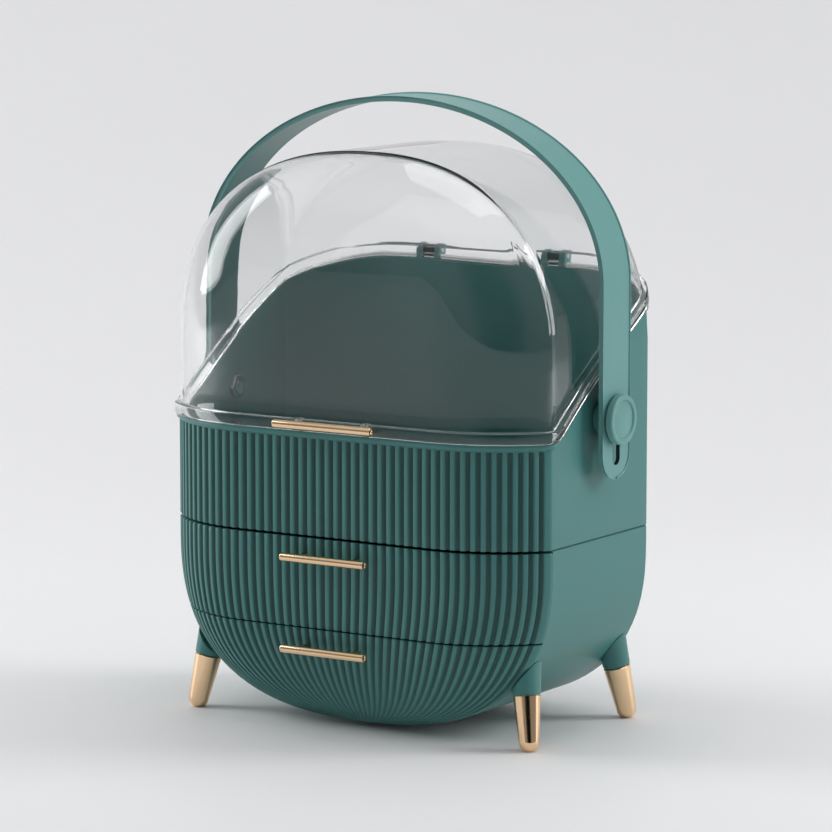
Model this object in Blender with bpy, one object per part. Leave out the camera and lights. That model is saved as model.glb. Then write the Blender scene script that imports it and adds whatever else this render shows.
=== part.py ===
"""Dustproof makeup organizer: an upright capsule on four splayed legs, with a clear hinged dome,
an open compartment under it, two drawers with ribbed fronts and a carry handle.

Metres, Z up, front towards -Y, origin on the ground under the middle of the body."""

import math

import bmesh
import bpy
from mathutils import Matrix, Vector

# Body seen from above: flat sides, and a face at the front and back that bulges out
half_width = 0.133
face_reach = 0.088
side_reach = 0.056
flat_half = 0.068

# Body seen from the front: straight sides, a round underside and a round dome
bottom_z = 0.004
low_curve_z = 0.110
lid_curve_z = 0.230
lid_top_z = 0.348
low_power = 2.5
lid_power = 2.3

# Walls and running gaps
wall = 0.003
lid_wall = 0.0025
tray_wall = 0.0022
rest_gap = 0.0003
hole_gap = 0.0003
overrun = 0.005

# Ribs on the bulged faces
rib_count = 46
rib_depth = 0.0012
rib_crest_shares = (0.28, 0.72)
rib_least_share = 0.3
rib_end_height = 0.0035
rib_end_gap = 0.0025

# Levels of the seams
housing_top_z = 0.1199
box_bottom_z = 0.1203
box_floor = 0.003
upper_front_top_z = 0.1188
middle_seam_z = 0.0643
middle_seam_half = 0.0004
ceiling = 0.0027

# Rim between the box and the lid, low in front and climbing to the back
rim_front_z = 0.183
rim_rise_share = 0.79
rim_bend_length = 0.80
rim_reach = 0.004
rim_height = 0.004
lid_rim_height = 0.007

# Drawers
front_lip = 0.0015
tray_side_gap = 0.004
tray_front_gap = 0.0004
tray_back_gap = 0.006
upper_tray_top_z = 0.1155
lower_tray_top_z = 0.0595
shelf_thickness = 0.0028
shelf_gap = 0.0004
ledge_height = 0.0018
ledge_reach = 0.003
rail_half = 0.003
rail_x = 0.045

# Grip bars, their posts and screws
bar_radius = 0.0026
bar_standoff = 0.009
lid_bar_length = 0.069
drawer_bar_length = 0.059
lid_bar_z = 0.1875
upper_bar_z = 0.1079
lower_bar_z = 0.0525
bar_recess_radius = 0.0017
bar_recess_depth = 0.0008
bar_chamfer = 0.0004
post_radius = 0.0021
post_inset = 0.011
screw_radius = 0.0011
screw_head_radius = 0.0028
screw_head_height = 0.0016
screw_tip_gap = 0.0009

# Carry handle, its knobs and pins
pivot_z = 0.192
handle_side_gap = 0.0033
handle_thickness = 0.0042
handle_width = 0.0316
handle_chamfer = 0.0007
handle_curve_lift = 0.042
handle_lift = 0.031
leg_end_z = 0.1562
handle_travel = 0.023
knob_radius = 0.015
knob_thickness = 0.0045
knob_dish_radius = 0.0115
knob_dish_depth = 0.0008
knob_chamfer = 0.0008
pin_radius = 0.004
pin_end_length = 0.0015
nut_radius = 0.0085
nut_thickness = 0.003
spacer_radius = 0.010

# Lid hinges behind the rim
hinge_x = 0.045
knuckle_radius = 0.0036
knuckle_half = 0.0042
lug_thickness = 0.004
hinge_gap = 0.0004
hinge_offset = 0.0004
hinge_pin_radius = 0.0016
lug_foot = 0.005
lug_sink = 0.001

# Legs: sleeve, metal tip and screw
foot_inset = 0.013
foot_reach = 0.002
splay = math.radians(13.0)
tip_length = 0.033
tip_low_radius = 0.0062
tip_high_radius = 0.0083
tip_sink = 0.0005
spigot_radius = 0.004
spigot_length = 0.0045
sleeve_high_radius = 0.0105
sleeve_length = 0.034
leg_gap = 0.0003
leg_screw_turn = math.radians(33.0)
leg_screw_length = 0.0075
leg_screw_radius = 0.0014
leg_screw_head_radius = 0.003
leg_screw_head_height = 0.0018
leg_screw_seat_gap = 0.0010

# Screws that hold the box on the housing
body_screw_inset_x = 0.033
body_screw_inset_y = 0.016
body_screw_radius = 0.0016
body_screw_head_radius = 0.0032
body_screw_head_height = 0.002

# Fineness of the round shapes
corner_steps = 6
side_steps = 5
low_steps = 7
lid_steps = 5
arch_steps = 26
last_turn = math.radians(84.0)
fine_segments = 32
small_segments = 16

# Places worked out from the sizes above
bulge = face_reach - side_reach
corner_run = half_width - flat_half
corner_radius = (corner_run ** 2 + bulge ** 2) / (2 * bulge)
front_back_y = side_reach - front_lip
housing_front_y = front_back_y - rest_gap
compartment_z = box_bottom_z + box_floor
ceiling_z = housing_top_z - ceiling
upper_front_low_z = middle_seam_z + middle_seam_half
lower_front_top_z = middle_seam_z - middle_seam_half
shelf_top_z = upper_front_low_z
shelf_low_z = shelf_top_z - shelf_thickness
upper_tray_low_z = shelf_top_z + shelf_gap
tray_inset = wall + tray_side_gap
tray_face_inset = wall + tray_front_gap
bar_y = -(face_reach + bar_standoff)
handle_inner_x = half_width + rim_reach + handle_side_gap
handle_outer_x = handle_inner_x + handle_thickness
handle_curve_z = lid_curve_z + handle_curve_lift
handle_top_z = lid_top_z + handle_lift
tray_back_y = side_reach - tray_back_gap


def face_arc(inset):
    """Corner radius, its turn, and the place of its outer end, on a skin set in from the outside."""
    radius = corner_radius - inset
    turn = math.asin((half_width - inset - flat_half) / radius)
    corner_y = face_reach - inset - radius * (1 - math.cos(turn))
    return radius, turn, corner_y


def face_point(share, inset):
    """Seen from above, a place on the bulged face: its x, how far it stands out, and its turn."""
    radius, turn, corner_y = face_arc(inset)
    run = abs(share) * (flat_half + radius * turn)
    angle = max(0.0, run - flat_half) / radius
    x = min(run, flat_half) + radius * math.sin(angle)
    out = face_reach - inset - corner_y - radius * (1 - math.cos(angle))
    return math.copysign(x, share), out, angle


def bulge_share(z, inset):
    """The share of the bulge left at a height: it dies out towards the underside and the dome."""
    radius, turn, corner_y = face_arc(inset)
    full = face_reach - inset - corner_y
    distance = max(0.0, min(z - bottom_z, lid_top_z - z) - inset)
    across = half_width - inset - distance - flat_half
    if across <= 0:
        return 1.0
    return (full - radius + math.sqrt(radius ** 2 - across ** 2)) / full


def silhouette(z, inset):
    """Half width at a height as a share of the full half width, seen from the front."""
    if z < low_curve_z:
        depth = (low_curve_z - z) / (low_curve_z - bottom_z - inset)
        power = low_power
    elif z > lid_curve_z:
        depth = (z - lid_curve_z) / (lid_top_z - inset - lid_curve_z)
        power = lid_power
    else:
        return 1.0
    return (1 - min(depth, 1.0) ** power) ** (1 / power)


def half_width_at(z, inset):
    return (half_width - inset) * silhouette(z, inset)


def low_level(turn, inset):
    """Height on the round underside after a turn from its straight side."""
    return low_curve_z - (low_curve_z - bottom_z - inset) * math.sin(turn) ** (2 / low_power)


def low_turn(z, inset):
    """The turn at which the round underside reaches a height."""
    depth = (low_curve_z - z) / (low_curve_z - bottom_z - inset)
    return math.asin(depth ** (low_power / 2))


def low_levels(top, low, inset, steps):
    """Heights from top down to low, closer where the underside curves; no low means the bottom."""
    levels = []
    first = 0.0
    if top > low_curve_z:
        levels.append(top)
    else:
        first = low_turn(top, inset)
    last = last_turn if low is None else low_turn(low, inset)
    for step in range(steps + 1):
        levels.append(low_level(first + (last - first) * step / steps, inset))
    return levels


def on_facets(z, levels, measure):
    """A measure of the skin at a height, on the flat facets between levels from top to bottom."""
    for high, low in zip(levels, levels[1:]):
        if low <= z <= high:
            share = (high - z) / (high - low)
            return measure(high) * (1 - share) + measure(low) * share
    raise ValueError(f"no facet at {z}")


def facet_half_width(z, top, inset):
    """Half width at a height on the facets of the round underside."""
    levels = low_levels(top, None, inset, low_steps)
    return on_facets(z, levels, lambda height: half_width_at(height, inset))


def middle_reach(z, inset):
    """How far the middle of the bulged face stands from the middle plane at a height."""
    corner_y = face_arc(inset)[2]
    return corner_y + (face_reach - inset - corner_y) * bulge_share(z, inset)


def flat(z):
    """A level plane at one height."""
    return lambda y: z


def rim_turn_y():
    """How far from the middle plane the rim starts to climb, inside the corners of all its loops."""
    return face_arc(2 * wall)[2] - rest_gap


def rim_level(offset):
    """The rim's curve, raised by an offset: level along the front, then climbing to the back."""
    def level(y):
        run = max(0.0, y + rim_turn_y())
        return rim_front_z + offset + rim_rise_share * run - run ** 2 / rim_bend_length
    return level


def blend_level(low, high, share):
    """A level part of the way between two others."""
    return lambda y: low(y) + (high(y) - low(y)) * share


def smooth_pattern(inset):
    """Places across a plain bulged face, with no points along its flat middle."""
    radius, turn, corner_y = face_arc(inset)
    flat_share = flat_half / (flat_half + radius * turn)
    shares = [1 - (1 - flat_share) * step / corner_steps for step in range(corner_steps + 1)]
    return [(-share, 0.0) for share in shares] + [(share, 0.0) for share in reversed(shares)]


def ribbed_pattern(depth):
    """Places across a ribbed face, with the depth that each groove is sunk."""
    pattern = []
    for rib in range(rib_count):
        start = 2 * rib / rib_count - 1
        pattern.append((start, depth if rib else 0.0))
        for share in rib_crest_shares:
            pattern.append((start + 2 * share / rib_count, 0.0))
    pattern.append((1.0, 0.0))
    return pattern


def shell_point(share, sunk, side, level, inset, face_inset):
    """A point of the body's skin on the bulged face at the front (side -1) or back (side 1)."""
    x, out, turn = face_point(share, face_inset)
    corner_y = face_arc(face_inset)[2]
    x -= math.copysign(sunk * math.sin(turn), share)
    sunk *= math.cos(turn)
    z = level(side * (corner_y + out - sunk))
    bulged = bulge_share(z, face_inset)
    y = corner_y + out * bulged - sunk * max(bulged, rib_least_share)
    x_share = x / (half_width - face_inset)
    return Vector((x_share * half_width_at(z, inset), side * y, z))


def ring(level, inset, front, back, face_inset=None):
    """A loop round the body seen from above. Front and back are each a pattern of places across
    a bulged face, or the y of a straight edge."""
    face_inset = inset if face_inset is None else face_inset
    ends = []
    for side, edge in ((-1, front), (1, back)):
        if isinstance(edge, list):
            points = [shell_point(share, sunk, side, level, inset, face_inset) for share, sunk in edge]
        else:
            x = half_width_at(level(edge), inset)
            points = [Vector((-x, edge, level(edge))), Vector((x, edge, level(edge)))]
        ends.append(points)
    sides = []
    if isinstance(front, list) and isinstance(back, list):
        for step in range(side_steps + 1):
            y = rim_turn_y() * (2 * step / side_steps - 1)
            sides.append(Vector((half_width_at(level(y), inset), y, level(y))))
    mirrored = [Vector((-point.x, point.y, point.z)) for point in reversed(sides)]
    return ends[0] + sides + ends[1][::-1] + mirrored, len(ends[0])


def fan(mesh, row):
    """Closes a level loop with triangles from the corner that sees the rest of it best."""
    def least_area(start):
        spot = row[start].co.xy
        others = [corner.co.xy - spot for corner in row[start + 1:] + row[:start]]
        return min(near.cross(far) for near, far in zip(others, others[1:]))

    start = max(range(len(row)), key=least_area)
    others = row[start + 1:] + row[:start]
    for near, far in zip(others, others[1:]):
        mesh.faces.new((row[start], near, far))


def cap(mesh, row, front_count):
    """Closes a loop: a level one with one face, a sloping one with rungs from left to right."""
    heights = [corner.co.z for corner in row]
    if max(heights) - min(heights) < rest_gap:
        mesh.faces.new(row)
        return
    count = len(row)
    rungs = range(count // 2 + front_count % 2)
    lefts = [row[((front_count - 1) // 2 - step) % count] for step in rungs]
    rights = [row[(front_count // 2 + step) % count] for step in rungs]
    depths = [corner.co.y for corner in lefts]
    first = next(place for place, y in enumerate(depths) if y - depths[0] > rest_gap)
    last = max(place for place, y in enumerate(depths) if depths[-1] - y > rest_gap)
    stops = [0] + list(range(first, last + 1)) + [len(lefts) - 1]
    for start, end in zip(stops, stops[1:]):
        corners = lefts[start:end + 1][::-1] + rights[start:end + 1]
        mesh.faces.new(dict.fromkeys(corners))


def finish_mesh(mesh, name):
    """A mesh datablock with its faces outwards and round sides shaded smooth."""
    bmesh.ops.recalc_face_normals(mesh, faces=mesh.faces)
    data = bpy.data.meshes.new(name)
    mesh.to_mesh(data)
    mesh.free()
    data.shade_smooth()
    data.set_sharp_from_angle(angle=math.radians(32.0))
    return data


def add_object(name, data, material, parent=None):
    """A sub-part in the scene; its parent empty stands on its joint."""
    obj = bpy.data.objects.new(name, data)
    bpy.context.scene.collection.objects.link(obj)
    if material is not None:
        obj.data.materials.append(material)
    if parent is not None:
        obj.parent = parent
        obj.matrix_parent_inverse = Matrix.Translation(-parent.location)
    return obj


def stack_mesh(name, loops, closed_band=False, fanned_low=False):
    """A skin through loops of equal count, capped at both ends or closed into a band."""
    mesh = bmesh.new()
    rows = [[mesh.verts.new(point) for point in points] for points, front_count in loops]
    pairs = list(zip(rows, rows[1:]))
    if closed_band:
        pairs.append((rows[-1], rows[0]))
    for low, high in pairs:
        for place in range(len(low)):
            following = (place + 1) % len(low)
            mesh.faces.new((low[place], low[following], high[following], high[place]))
    if fanned_low:
        fan(mesh, rows[0])
    elif not closed_band:
        cap(mesh, rows[0], loops[0][1])
    if not closed_band:
        cap(mesh, rows[-1], loops[-1][1])
    return finish_mesh(mesh, name)


def add_turned(mesh, profile, matrix, segments, closed_band=False):
    """Adds a turned body to a mesh: a profile of (height, radius) about the matrix's Z axis."""
    rows = []
    for height, radius in profile:
        row = []
        for segment in range(segments):
            angle = math.tau * segment / segments
            point = Vector((radius * math.cos(angle), radius * math.sin(angle), height))
            row.append(mesh.verts.new(matrix @ point))
        rows.append(row)
    pairs = list(zip(rows, rows[1:]))
    if closed_band:
        pairs.append((rows[-1], rows[0]))
    for low, high in pairs:
        for place in range(segments):
            following = (place + 1) % segments
            mesh.faces.new((low[place], low[following], high[following], high[place]))
    if not closed_band:
        mesh.faces.new(reversed(rows[0]))
        mesh.faces.new(rows[-1])


def turned_mesh(name, profile, matrix, segments, closed_band=False):
    mesh = bmesh.new()
    add_turned(mesh, profile, matrix, segments, closed_band)
    return finish_mesh(mesh, name)


def add_prism(mesh, outline, axis, start, end):
    """Adds a flat outline of (first, second) places pushed along an axis: 0 for X or 1 for Y."""
    rows = []
    for depth in (start, end):
        row = []
        for first, second in outline:
            point = (depth, first, second) if axis == 0 else (first, depth, second)
            row.append(mesh.verts.new(point))
        rows.append(row)
    for place in range(len(outline)):
        following = (place + 1) % len(outline)
        mesh.faces.new((rows[0][place], rows[0][following], rows[1][following], rows[1][place]))
    mesh.faces.new(rows[0])
    mesh.faces.new(rows[1])


def add_box(mesh, low, high):
    """Adds a box between two corners."""
    outline = [(low[0], low[2]), (high[0], low[2]), (high[0], high[2]), (low[0], high[2])]
    add_prism(mesh, outline, 1, low[1], high[1])


def add_cylinder(mesh, centre, direction, start, end, radius, segments=small_segments):
    """Adds a plain round bar along a direction through a centre."""
    add_turned(mesh, [(start, radius), (end, radius)], axis_matrix(centre, direction), segments)


def axis_matrix(origin, direction):
    """A frame at a place, with its Z axis along a direction."""
    turn = Vector(direction).to_track_quat("Z", "Y").to_matrix().to_4x4()
    return Matrix.Translation(origin) @ turn


def tool(name, data):
    """A cutter or an addition, which stays out of the finished part."""
    obj = add_object(name, data, None)
    obj.hide_render = True
    obj.display_type = "WIRE"
    return obj


def combine(target, other, operation):
    modifier = target.modifiers.new(f"{operation.lower()} {other.name}", "BOOLEAN")
    modifier.operation = operation
    modifier.object = other
    modifier.solver = "EXACT"


def material(name, colour, roughness, metallic=0.0, transmission=0.0):
    made = bpy.data.materials.new(name)
    made.use_nodes = True
    shader = made.node_tree.nodes["Principled BSDF"]
    shader.inputs["Base Color"].default_value = (*colour, 1.0)
    shader.inputs["Roughness"].default_value = roughness
    shader.inputs["Metallic"].default_value = metallic
    shader.inputs["Transmission Weight"].default_value = transmission
    made.diffuse_color = (*colour, 1.0)
    return made


def green_plastic():
    return material("green plastic", (0.050, 0.150, 0.138), 0.45)


def inner_plastic():
    return material("inner green plastic", (0.040, 0.120, 0.110), 0.55)


def clear_plastic():
    return material("clear plastic", (0.90, 0.93, 0.93), 0.05, transmission=1.0)


def rose_gold():
    return material("rose gold", (0.78, 0.55, 0.40), 0.25, metallic=1.0)


def steel():
    return material("steel", (0.56, 0.57, 0.58), 0.35, metallic=1.0)


def joint_empty(name, place):
    empty = bpy.data.objects.new(name, None)
    empty.location = place
    empty.empty_display_size = knob_radius
    bpy.context.scene.collection.objects.link(empty)
    return empty


def circle_points(centre, radius, first, last, steps):
    """Points of an arc between two angles."""
    points = []
    for step in range(steps + 1):
        angle = first + (last - first) * step / steps
        points.append((centre[0] + radius * math.cos(angle), centre[1] + radius * math.sin(angle)))
    return points


def hinge_z():
    """The hinge stands behind the middle of the lid's rim."""
    return rim_level(rest_gap + lid_rim_height / 2)(face_reach + rim_reach)


def hinge_y():
    """The hinge axis stands just clear of the rims' outer faces."""
    return middle_reach(hinge_z(), -rim_reach) + knuckle_radius + hinge_offset


def knuckle_outline(base_low_z, base_high_z):
    """A round eye on the hinge axis, joined to a foot sunk in the rim's outer face."""
    face_y = middle_reach(hinge_z(), -rim_reach)
    foot_y = face_y - lug_sink
    centre = (hinge_y(), hinge_z())
    eye = circle_points(centre, knuckle_radius, math.radians(-110), math.radians(140), 12)
    return [(foot_y, base_low_z)] + eye + [(face_y + hinge_offset, base_high_z), (foot_y, base_high_z)]


def body_screw_places():
    far_x = half_width - body_screw_inset_x
    far_y = side_reach - body_screw_inset_y
    return [(x, y) for x in (-far_x, far_x) for y in (-far_y, far_y)]


def post_places(length):
    return [-(length / 2 - post_inset), length / 2 - post_inset]


def top_box(green):
    """The ribbed compartment with its floor, sloping flanged rim and hinge lugs."""
    rim_low = -rim_height
    grooved = ribbed_pattern(rib_depth)
    plain = ribbed_pattern(0.0)
    loops = [
        ring(flat(box_bottom_z), 0.0, grooved, grooved),
        ring(rim_level(rim_low - rib_end_gap - rib_end_height), 0.0, grooved, grooved),
        ring(rim_level(rim_low - rib_end_gap), 0.0, plain, plain),
        ring(rim_level(rim_low / 2), 0.0, plain, plain),
    ]
    box = add_object("top_box", stack_mesh("top_box", loops), green)

    outer, inner = -rim_reach, 2 * wall
    around = {inset: smooth_pattern(inset) for inset in (outer, inner, wall)}
    band = [
        ring(rim_level(offset), inset, around[inset], around[inset])
        for offset, inset in ((rim_low, inner), (rim_low, outer), (0.0, outer), (0.0, inner))
    ]
    combine(box, tool("rim flange", stack_mesh("rim flange", band, closed_band=True)), "UNION")

    additions = bmesh.new()
    rim_z = rim_level(rim_low)(face_reach + rim_reach)
    lug = knuckle_outline(rim_z - lug_foot, rim_z + rim_height / 2)
    for centre in (-hinge_x, hinge_x):
        for side in (-1, 1):
            near = knuckle_half + hinge_gap
            start, end = centre + side * near, centre + side * (near + lug_thickness)
            add_prism(additions, lug, 0, start, end)
    combine(box, tool("box additions", finish_mesh(additions, "box additions")), "UNION")

    hollow = [
        ring(flat(compartment_z), wall, around[wall], around[wall]),
        ring(rim_level(overrun), wall, around[wall], around[wall]),
    ]
    combine(box, tool("box hollow", stack_mesh("box hollow", hollow)), "DIFFERENCE")

    holes = bmesh.new()
    far = handle_outer_x + overrun
    add_cylinder(holes, (0, 0, pivot_z), (1, 0, 0), -far, far, pin_radius + hole_gap, fine_segments)
    reach = knuckle_half + hinge_gap + lug_thickness + overrun
    for x in (-hinge_x, hinge_x):
        radius = hinge_pin_radius + hole_gap
        add_cylinder(holes, (x, hinge_y(), hinge_z()), (1, 0, 0), -reach, reach, radius)
    for x, y in body_screw_places():
        radius = body_screw_radius + hole_gap
        add_cylinder(holes, (x, y, box_bottom_z), (0, 0, 1), -overrun, box_floor + overrun, radius)
    combine(box, tool("box holes", finish_mesh(holes, "box holes")), "DIFFERENCE")


def leg_axis(side_x, side_y):
    """Foot point and the direction up along a leg that splays outwards from corner to corner."""
    lean = math.sin(splay) * math.sqrt(0.5)
    foot = Vector((side_x * (half_width - foot_inset), side_y * (side_reach + foot_reach), 0.0))
    return foot, Vector((-side_x * lean, -side_y * lean, math.cos(splay)))


def leg_screw_frame(side_x, side_y):
    """Place on the underside's skin, and the way out of it, for the screw that holds a leg."""
    reach = low_curve_z - bottom_z
    x = half_width * math.cos(leg_screw_turn) ** (2 / low_power)
    z = low_level(leg_screw_turn, 0.0)
    slope_x = (x / half_width) ** (low_power - 1) / half_width
    slope_z = ((low_curve_z - z) / reach) ** (low_power - 1) / reach
    foot, way = leg_axis(side_x, side_y)
    y = (foot + way * (z / way.z)).y
    return Vector((side_x * x, y, z)), Vector((side_x * slope_x, 0.0, -slope_z)).normalized()


def corner_signs():
    return [(side_x, side_y) for side_y in (-1, 1) for side_x in (-1, 1)]


def housing(green):
    """The drawer housing: a round-bottomed shell, open in front, ribbed behind, with a ceiling."""
    grooved = ribbed_pattern(rib_depth)
    levels = low_levels(housing_top_z, None, 0.0, low_steps)
    loops = [ring(flat(z), 0.0, -housing_front_y, grooved) for z in reversed(levels)]
    loops[0] = ring(flat(levels[-1]), 0.0, -housing_front_y, ribbed_pattern(0.0))
    shell = add_object("housing", stack_mesh("housing", loops, fanned_low=True), green)

    levels = low_levels(ceiling_z, None, wall, low_steps)
    behind = smooth_pattern(wall)
    front = -(housing_front_y + overrun)
    hollow = [ring(flat(z), wall, front, behind) for z in reversed(levels)]
    combine(shell, tool("housing hollow", stack_mesh("housing hollow", hollow)), "DIFFERENCE")

    additions = bmesh.new()
    for low_z in (shelf_low_z - rest_gap - ledge_height, shelf_top_z + rest_gap):
        high_z = low_z + ledge_height
        inner_x = facet_half_width(low_z, ceiling_z, wall)
        for side in (-1, 1):
            ends = sorted((side * (inner_x - ledge_reach), side * (inner_x + wall / 2)))
            low = (ends[0], -housing_front_y + rest_gap, low_z)
            add_box(additions, low, (ends[1], side_reach, high_z))
    combine(shell, tool("shelf ledges", finish_mesh(additions, "shelf ledges")), "UNION")

    rails = bmesh.new()
    for side in (-1, 1):
        skin_z = low_level(math.acos((rail_x / half_width) ** (low_power / 2)), 0.0)
        low = (side * rail_x - rail_half, -housing_front_y + rest_gap, skin_z + wall / 2)
        high = (side * rail_x + rail_half, tray_back_y, skin_z + tray_inset + 2 * wall)
        add_box(rails, low, high)
    rail_tool = tool("drawer rails", finish_mesh(rails, "drawer rails"))
    bay_inset = tray_inset - rest_gap
    levels = low_levels(lower_tray_top_z, None, bay_inset, low_steps)
    back = tray_back_y + overrun
    bay = [ring(flat(z), bay_inset, front, back) for z in reversed(levels)]
    combine(rail_tool, tool("drawer bay", stack_mesh("drawer bay", bay)), "DIFFERENCE")
    combine(shell, rail_tool, "UNION")

    holes = bmesh.new()
    for x, y in body_screw_places():
        radius = body_screw_radius + hole_gap
        add_cylinder(holes, (x, y, housing_top_z), (0, 0, 1), -ceiling - overrun, overrun, radius)
    for signs in corner_signs():
        place, way = leg_screw_frame(*signs)
        radius = leg_screw_radius + hole_gap
        add_cylinder(holes, place, way, -wall - overrun, overrun, radius)
    combine(shell, tool("housing holes", finish_mesh(holes, "housing holes")), "DIFFERENCE")


def drawer_shelf(inner_green):
    """The plate between the two drawers, held in grooves in the housing's sides."""
    mesh = bmesh.new()
    x = facet_half_width(shelf_low_z, ceiling_z, wall) - rest_gap
    back_y = face_arc(wall)[2] - rest_gap
    low = (-x, -housing_front_y + rest_gap, shelf_low_z)
    add_box(mesh, low, (x, back_y, shelf_top_z))
    add_object("drawer_shelf", finish_mesh(mesh, "drawer_shelf"), inner_green)


def front_holes(name, bar_z, length):
    """Cutter for the two grip screws, through a drawer's front and tray."""
    holes = bmesh.new()
    for x in post_places(length):
        start, end = -(face_reach + overrun), -(side_reach - overrun)
        add_cylinder(holes, (x, 0, bar_z), (0, 1, 0), start, end, screw_radius + hole_gap)
    return tool(name, finish_mesh(holes, name))


def drawer_front(name, top_z, low_z, steps, green, parent, holes):
    """A ribbed front: a bulged shell that follows the body's skin, hollow behind."""
    grooved = ribbed_pattern(rib_depth)
    levels = low_levels(top_z, low_z, 0.0, steps)
    loops = [ring(flat(z), 0.0, grooved, -front_back_y) for z in reversed(levels)]
    if low_z is None:
        loops[0] = ring(flat(levels[-1]), 0.0, ribbed_pattern(0.0), -front_back_y)
    front = add_object(name, stack_mesh(name, loops, fanned_low=low_z is None), green, parent)

    low_end = None if low_z is None else low_z - overrun
    levels = low_levels(top_z, low_end, wall, steps)
    levels[0] = top_z
    levels.insert(0, top_z + overrun)
    inside = smooth_pattern(wall)
    back = -(front_back_y - overrun)
    hollow = [ring(flat(z), wall, inside, back) for z in reversed(levels)]
    cutter = tool(name + " hollow", stack_mesh(name + " hollow", hollow))
    combine(front, cutter, "DIFFERENCE")
    combine(front, holes, "DIFFERENCE")


def tray_levels(top_z, low_z, extra, steps):
    """Heights of a tray's loops, outside (no extra) or inside (extra by its wall)."""
    low = None if low_z is None else low_z + extra
    levels = low_levels(top_z, low, tray_inset + extra, steps)
    return [top_z] + levels[1:]


def screw_seat_y(bar_z, levels):
    """Where a grip screw's head stops on the inside of a tray's front wall."""
    inset = tray_face_inset + tray_wall
    return -on_facets(bar_z - screw_head_radius, levels, lambda z: middle_reach(z, inset))


def drawer_tray(name, top_z, low_z, steps, inner_green, parent, holes):
    """An open tray whose front wall nests in the bulge of its ribbed front."""
    sides = []
    for extra in (0.0, tray_wall):
        levels = tray_levels(top_z, low_z, extra, steps)
        inset, face_inset = tray_inset + extra, tray_face_inset + extra
        front = smooth_pattern(face_inset)
        back = tray_back_y - extra
        sides.append([ring(flat(z), inset, front, back, face_inset) for z in reversed(levels)])
    loops = sides[0] + sides[1][::-1]
    tray = add_object(name, stack_mesh(name, loops), inner_green, parent)
    combine(tray, holes, "DIFFERENCE")


def lid(clear, parent):
    """The clear dome: a thin shell with a thick rim that rests on the box's rim."""
    inner = smooth_pattern(lid_wall)
    outer = smooth_pattern(0.0)
    flange = smooth_pattern(-rim_reach)
    low = rim_level(rest_gap)
    high = rim_level(rest_gap + lid_rim_height)
    first_turn = math.radians(30.0)

    def dome_loops(inset, pattern):
        rise = lid_top_z - inset - lid_curve_z
        loops = []
        for step in range(lid_steps + 1):
            turn = first_turn + (last_turn - first_turn) * step / lid_steps
            z = lid_curve_z + rise * math.sin(turn) ** (2 / lid_power)
            if step == 0:
                for share in (0.35, 0.7):
                    level = blend_level(high, flat(z), share)
                    loops.append(ring(level, inset, pattern, pattern))
            loops.append(ring(flat(z), inset, pattern, pattern))
        return loops

    loops = dome_loops(lid_wall, inner)[::-1]
    loops.append(ring(low, lid_wall, inner, inner))
    loops.append(ring(low, -rim_reach, flange, flange))
    loops.append(ring(high, -rim_reach, flange, flange))
    loops.append(ring(high, 0.0, outer, outer))
    loops.extend(dome_loops(0.0, outer))
    dome = add_object("lid", stack_mesh("lid", loops), clear, parent)

    additions = bmesh.new()
    rim_z = low(face_reach + rim_reach)
    eye = knuckle_outline(rim_z + rim_height / 4, rim_z + lid_rim_height - rim_height / 4)
    for centre in (-hinge_x, hinge_x):
        add_prism(additions, eye, 0, centre - knuckle_half, centre + knuckle_half)
    combine(dome, tool("lid knuckles", finish_mesh(additions, "lid knuckles")), "UNION")

    holes = bmesh.new()
    reach = knuckle_half + overrun
    for x in (-hinge_x, hinge_x):
        radius = hinge_pin_radius + hole_gap
        add_cylinder(holes, (x, hinge_y(), hinge_z()), (1, 0, 0), -reach, reach, radius)
    for x in post_places(lid_bar_length):
        start, end = -(face_reach + overrun + rim_reach), -(side_reach - overrun)
        add_cylinder(holes, (x, 0, lid_bar_z), (0, 1, 0), start, end, screw_radius + hole_gap)
    combine(dome, tool("lid holes", finish_mesh(holes, "lid holes")), "DIFFERENCE")


def grip_bar(name, length, bar_z, seat_y, gold, parent):
    """A round bar with dished ends on two posts that reach back to the front."""
    half = length / 2
    dish = [(bar_recess_depth, bar_recess_radius), (0.0, bar_recess_radius)]
    edge = [(0.0, bar_radius - bar_chamfer), (bar_chamfer, bar_radius)]
    near = [(place - half, radius) for place, radius in dish + edge]
    profile = near + [(-place, radius) for place, radius in reversed(near)]
    matrix = axis_matrix((0, bar_y, bar_z), (1, 0, 0))
    bar = add_object(name, turned_mesh(name, profile, matrix, small_segments), gold, parent)

    posts = bmesh.new()
    holes = bmesh.new()
    post = [(bar_y, post_radius), (seat_y - rest_gap, post_radius)]
    half_facet = Matrix.Rotation(math.pi / small_segments, 4, "Z")
    for x in post_places(length):
        add_turned(posts, post, axis_matrix((x, 0, bar_z), (0, 1, 0)) @ half_facet, small_segments)
        start = bar_y + screw_tip_gap
        add_cylinder(holes, (x, 0, bar_z), (0, 1, 0), start, seat_y + overrun, screw_radius + hole_gap)
    combine(bar, tool(name + " posts", finish_mesh(posts, name + " posts")), "UNION")
    combine(bar, tool(name + " holes", finish_mesh(holes, name + " holes")), "DIFFERENCE")


def grip_screws(name, length, bar_z, head_y, material_used, parent):
    """The screws that hold a grip bar, driven from inside."""
    tip_y = bar_y + 2 * screw_tip_gap
    profile = [
        (tip_y, screw_radius),
        (head_y + rest_gap, screw_radius),
        (head_y + rest_gap, screw_head_radius),
        (head_y + rest_gap + screw_head_height, screw_head_radius),
    ]
    for number, x in enumerate(post_places(length), 1):
        matrix = axis_matrix((x, 0, bar_z), (0, 1, 0))
        label = f"{name}_{number}"
        add_object(label, turned_mesh(label, profile, matrix, small_segments), material_used, parent)


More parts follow.
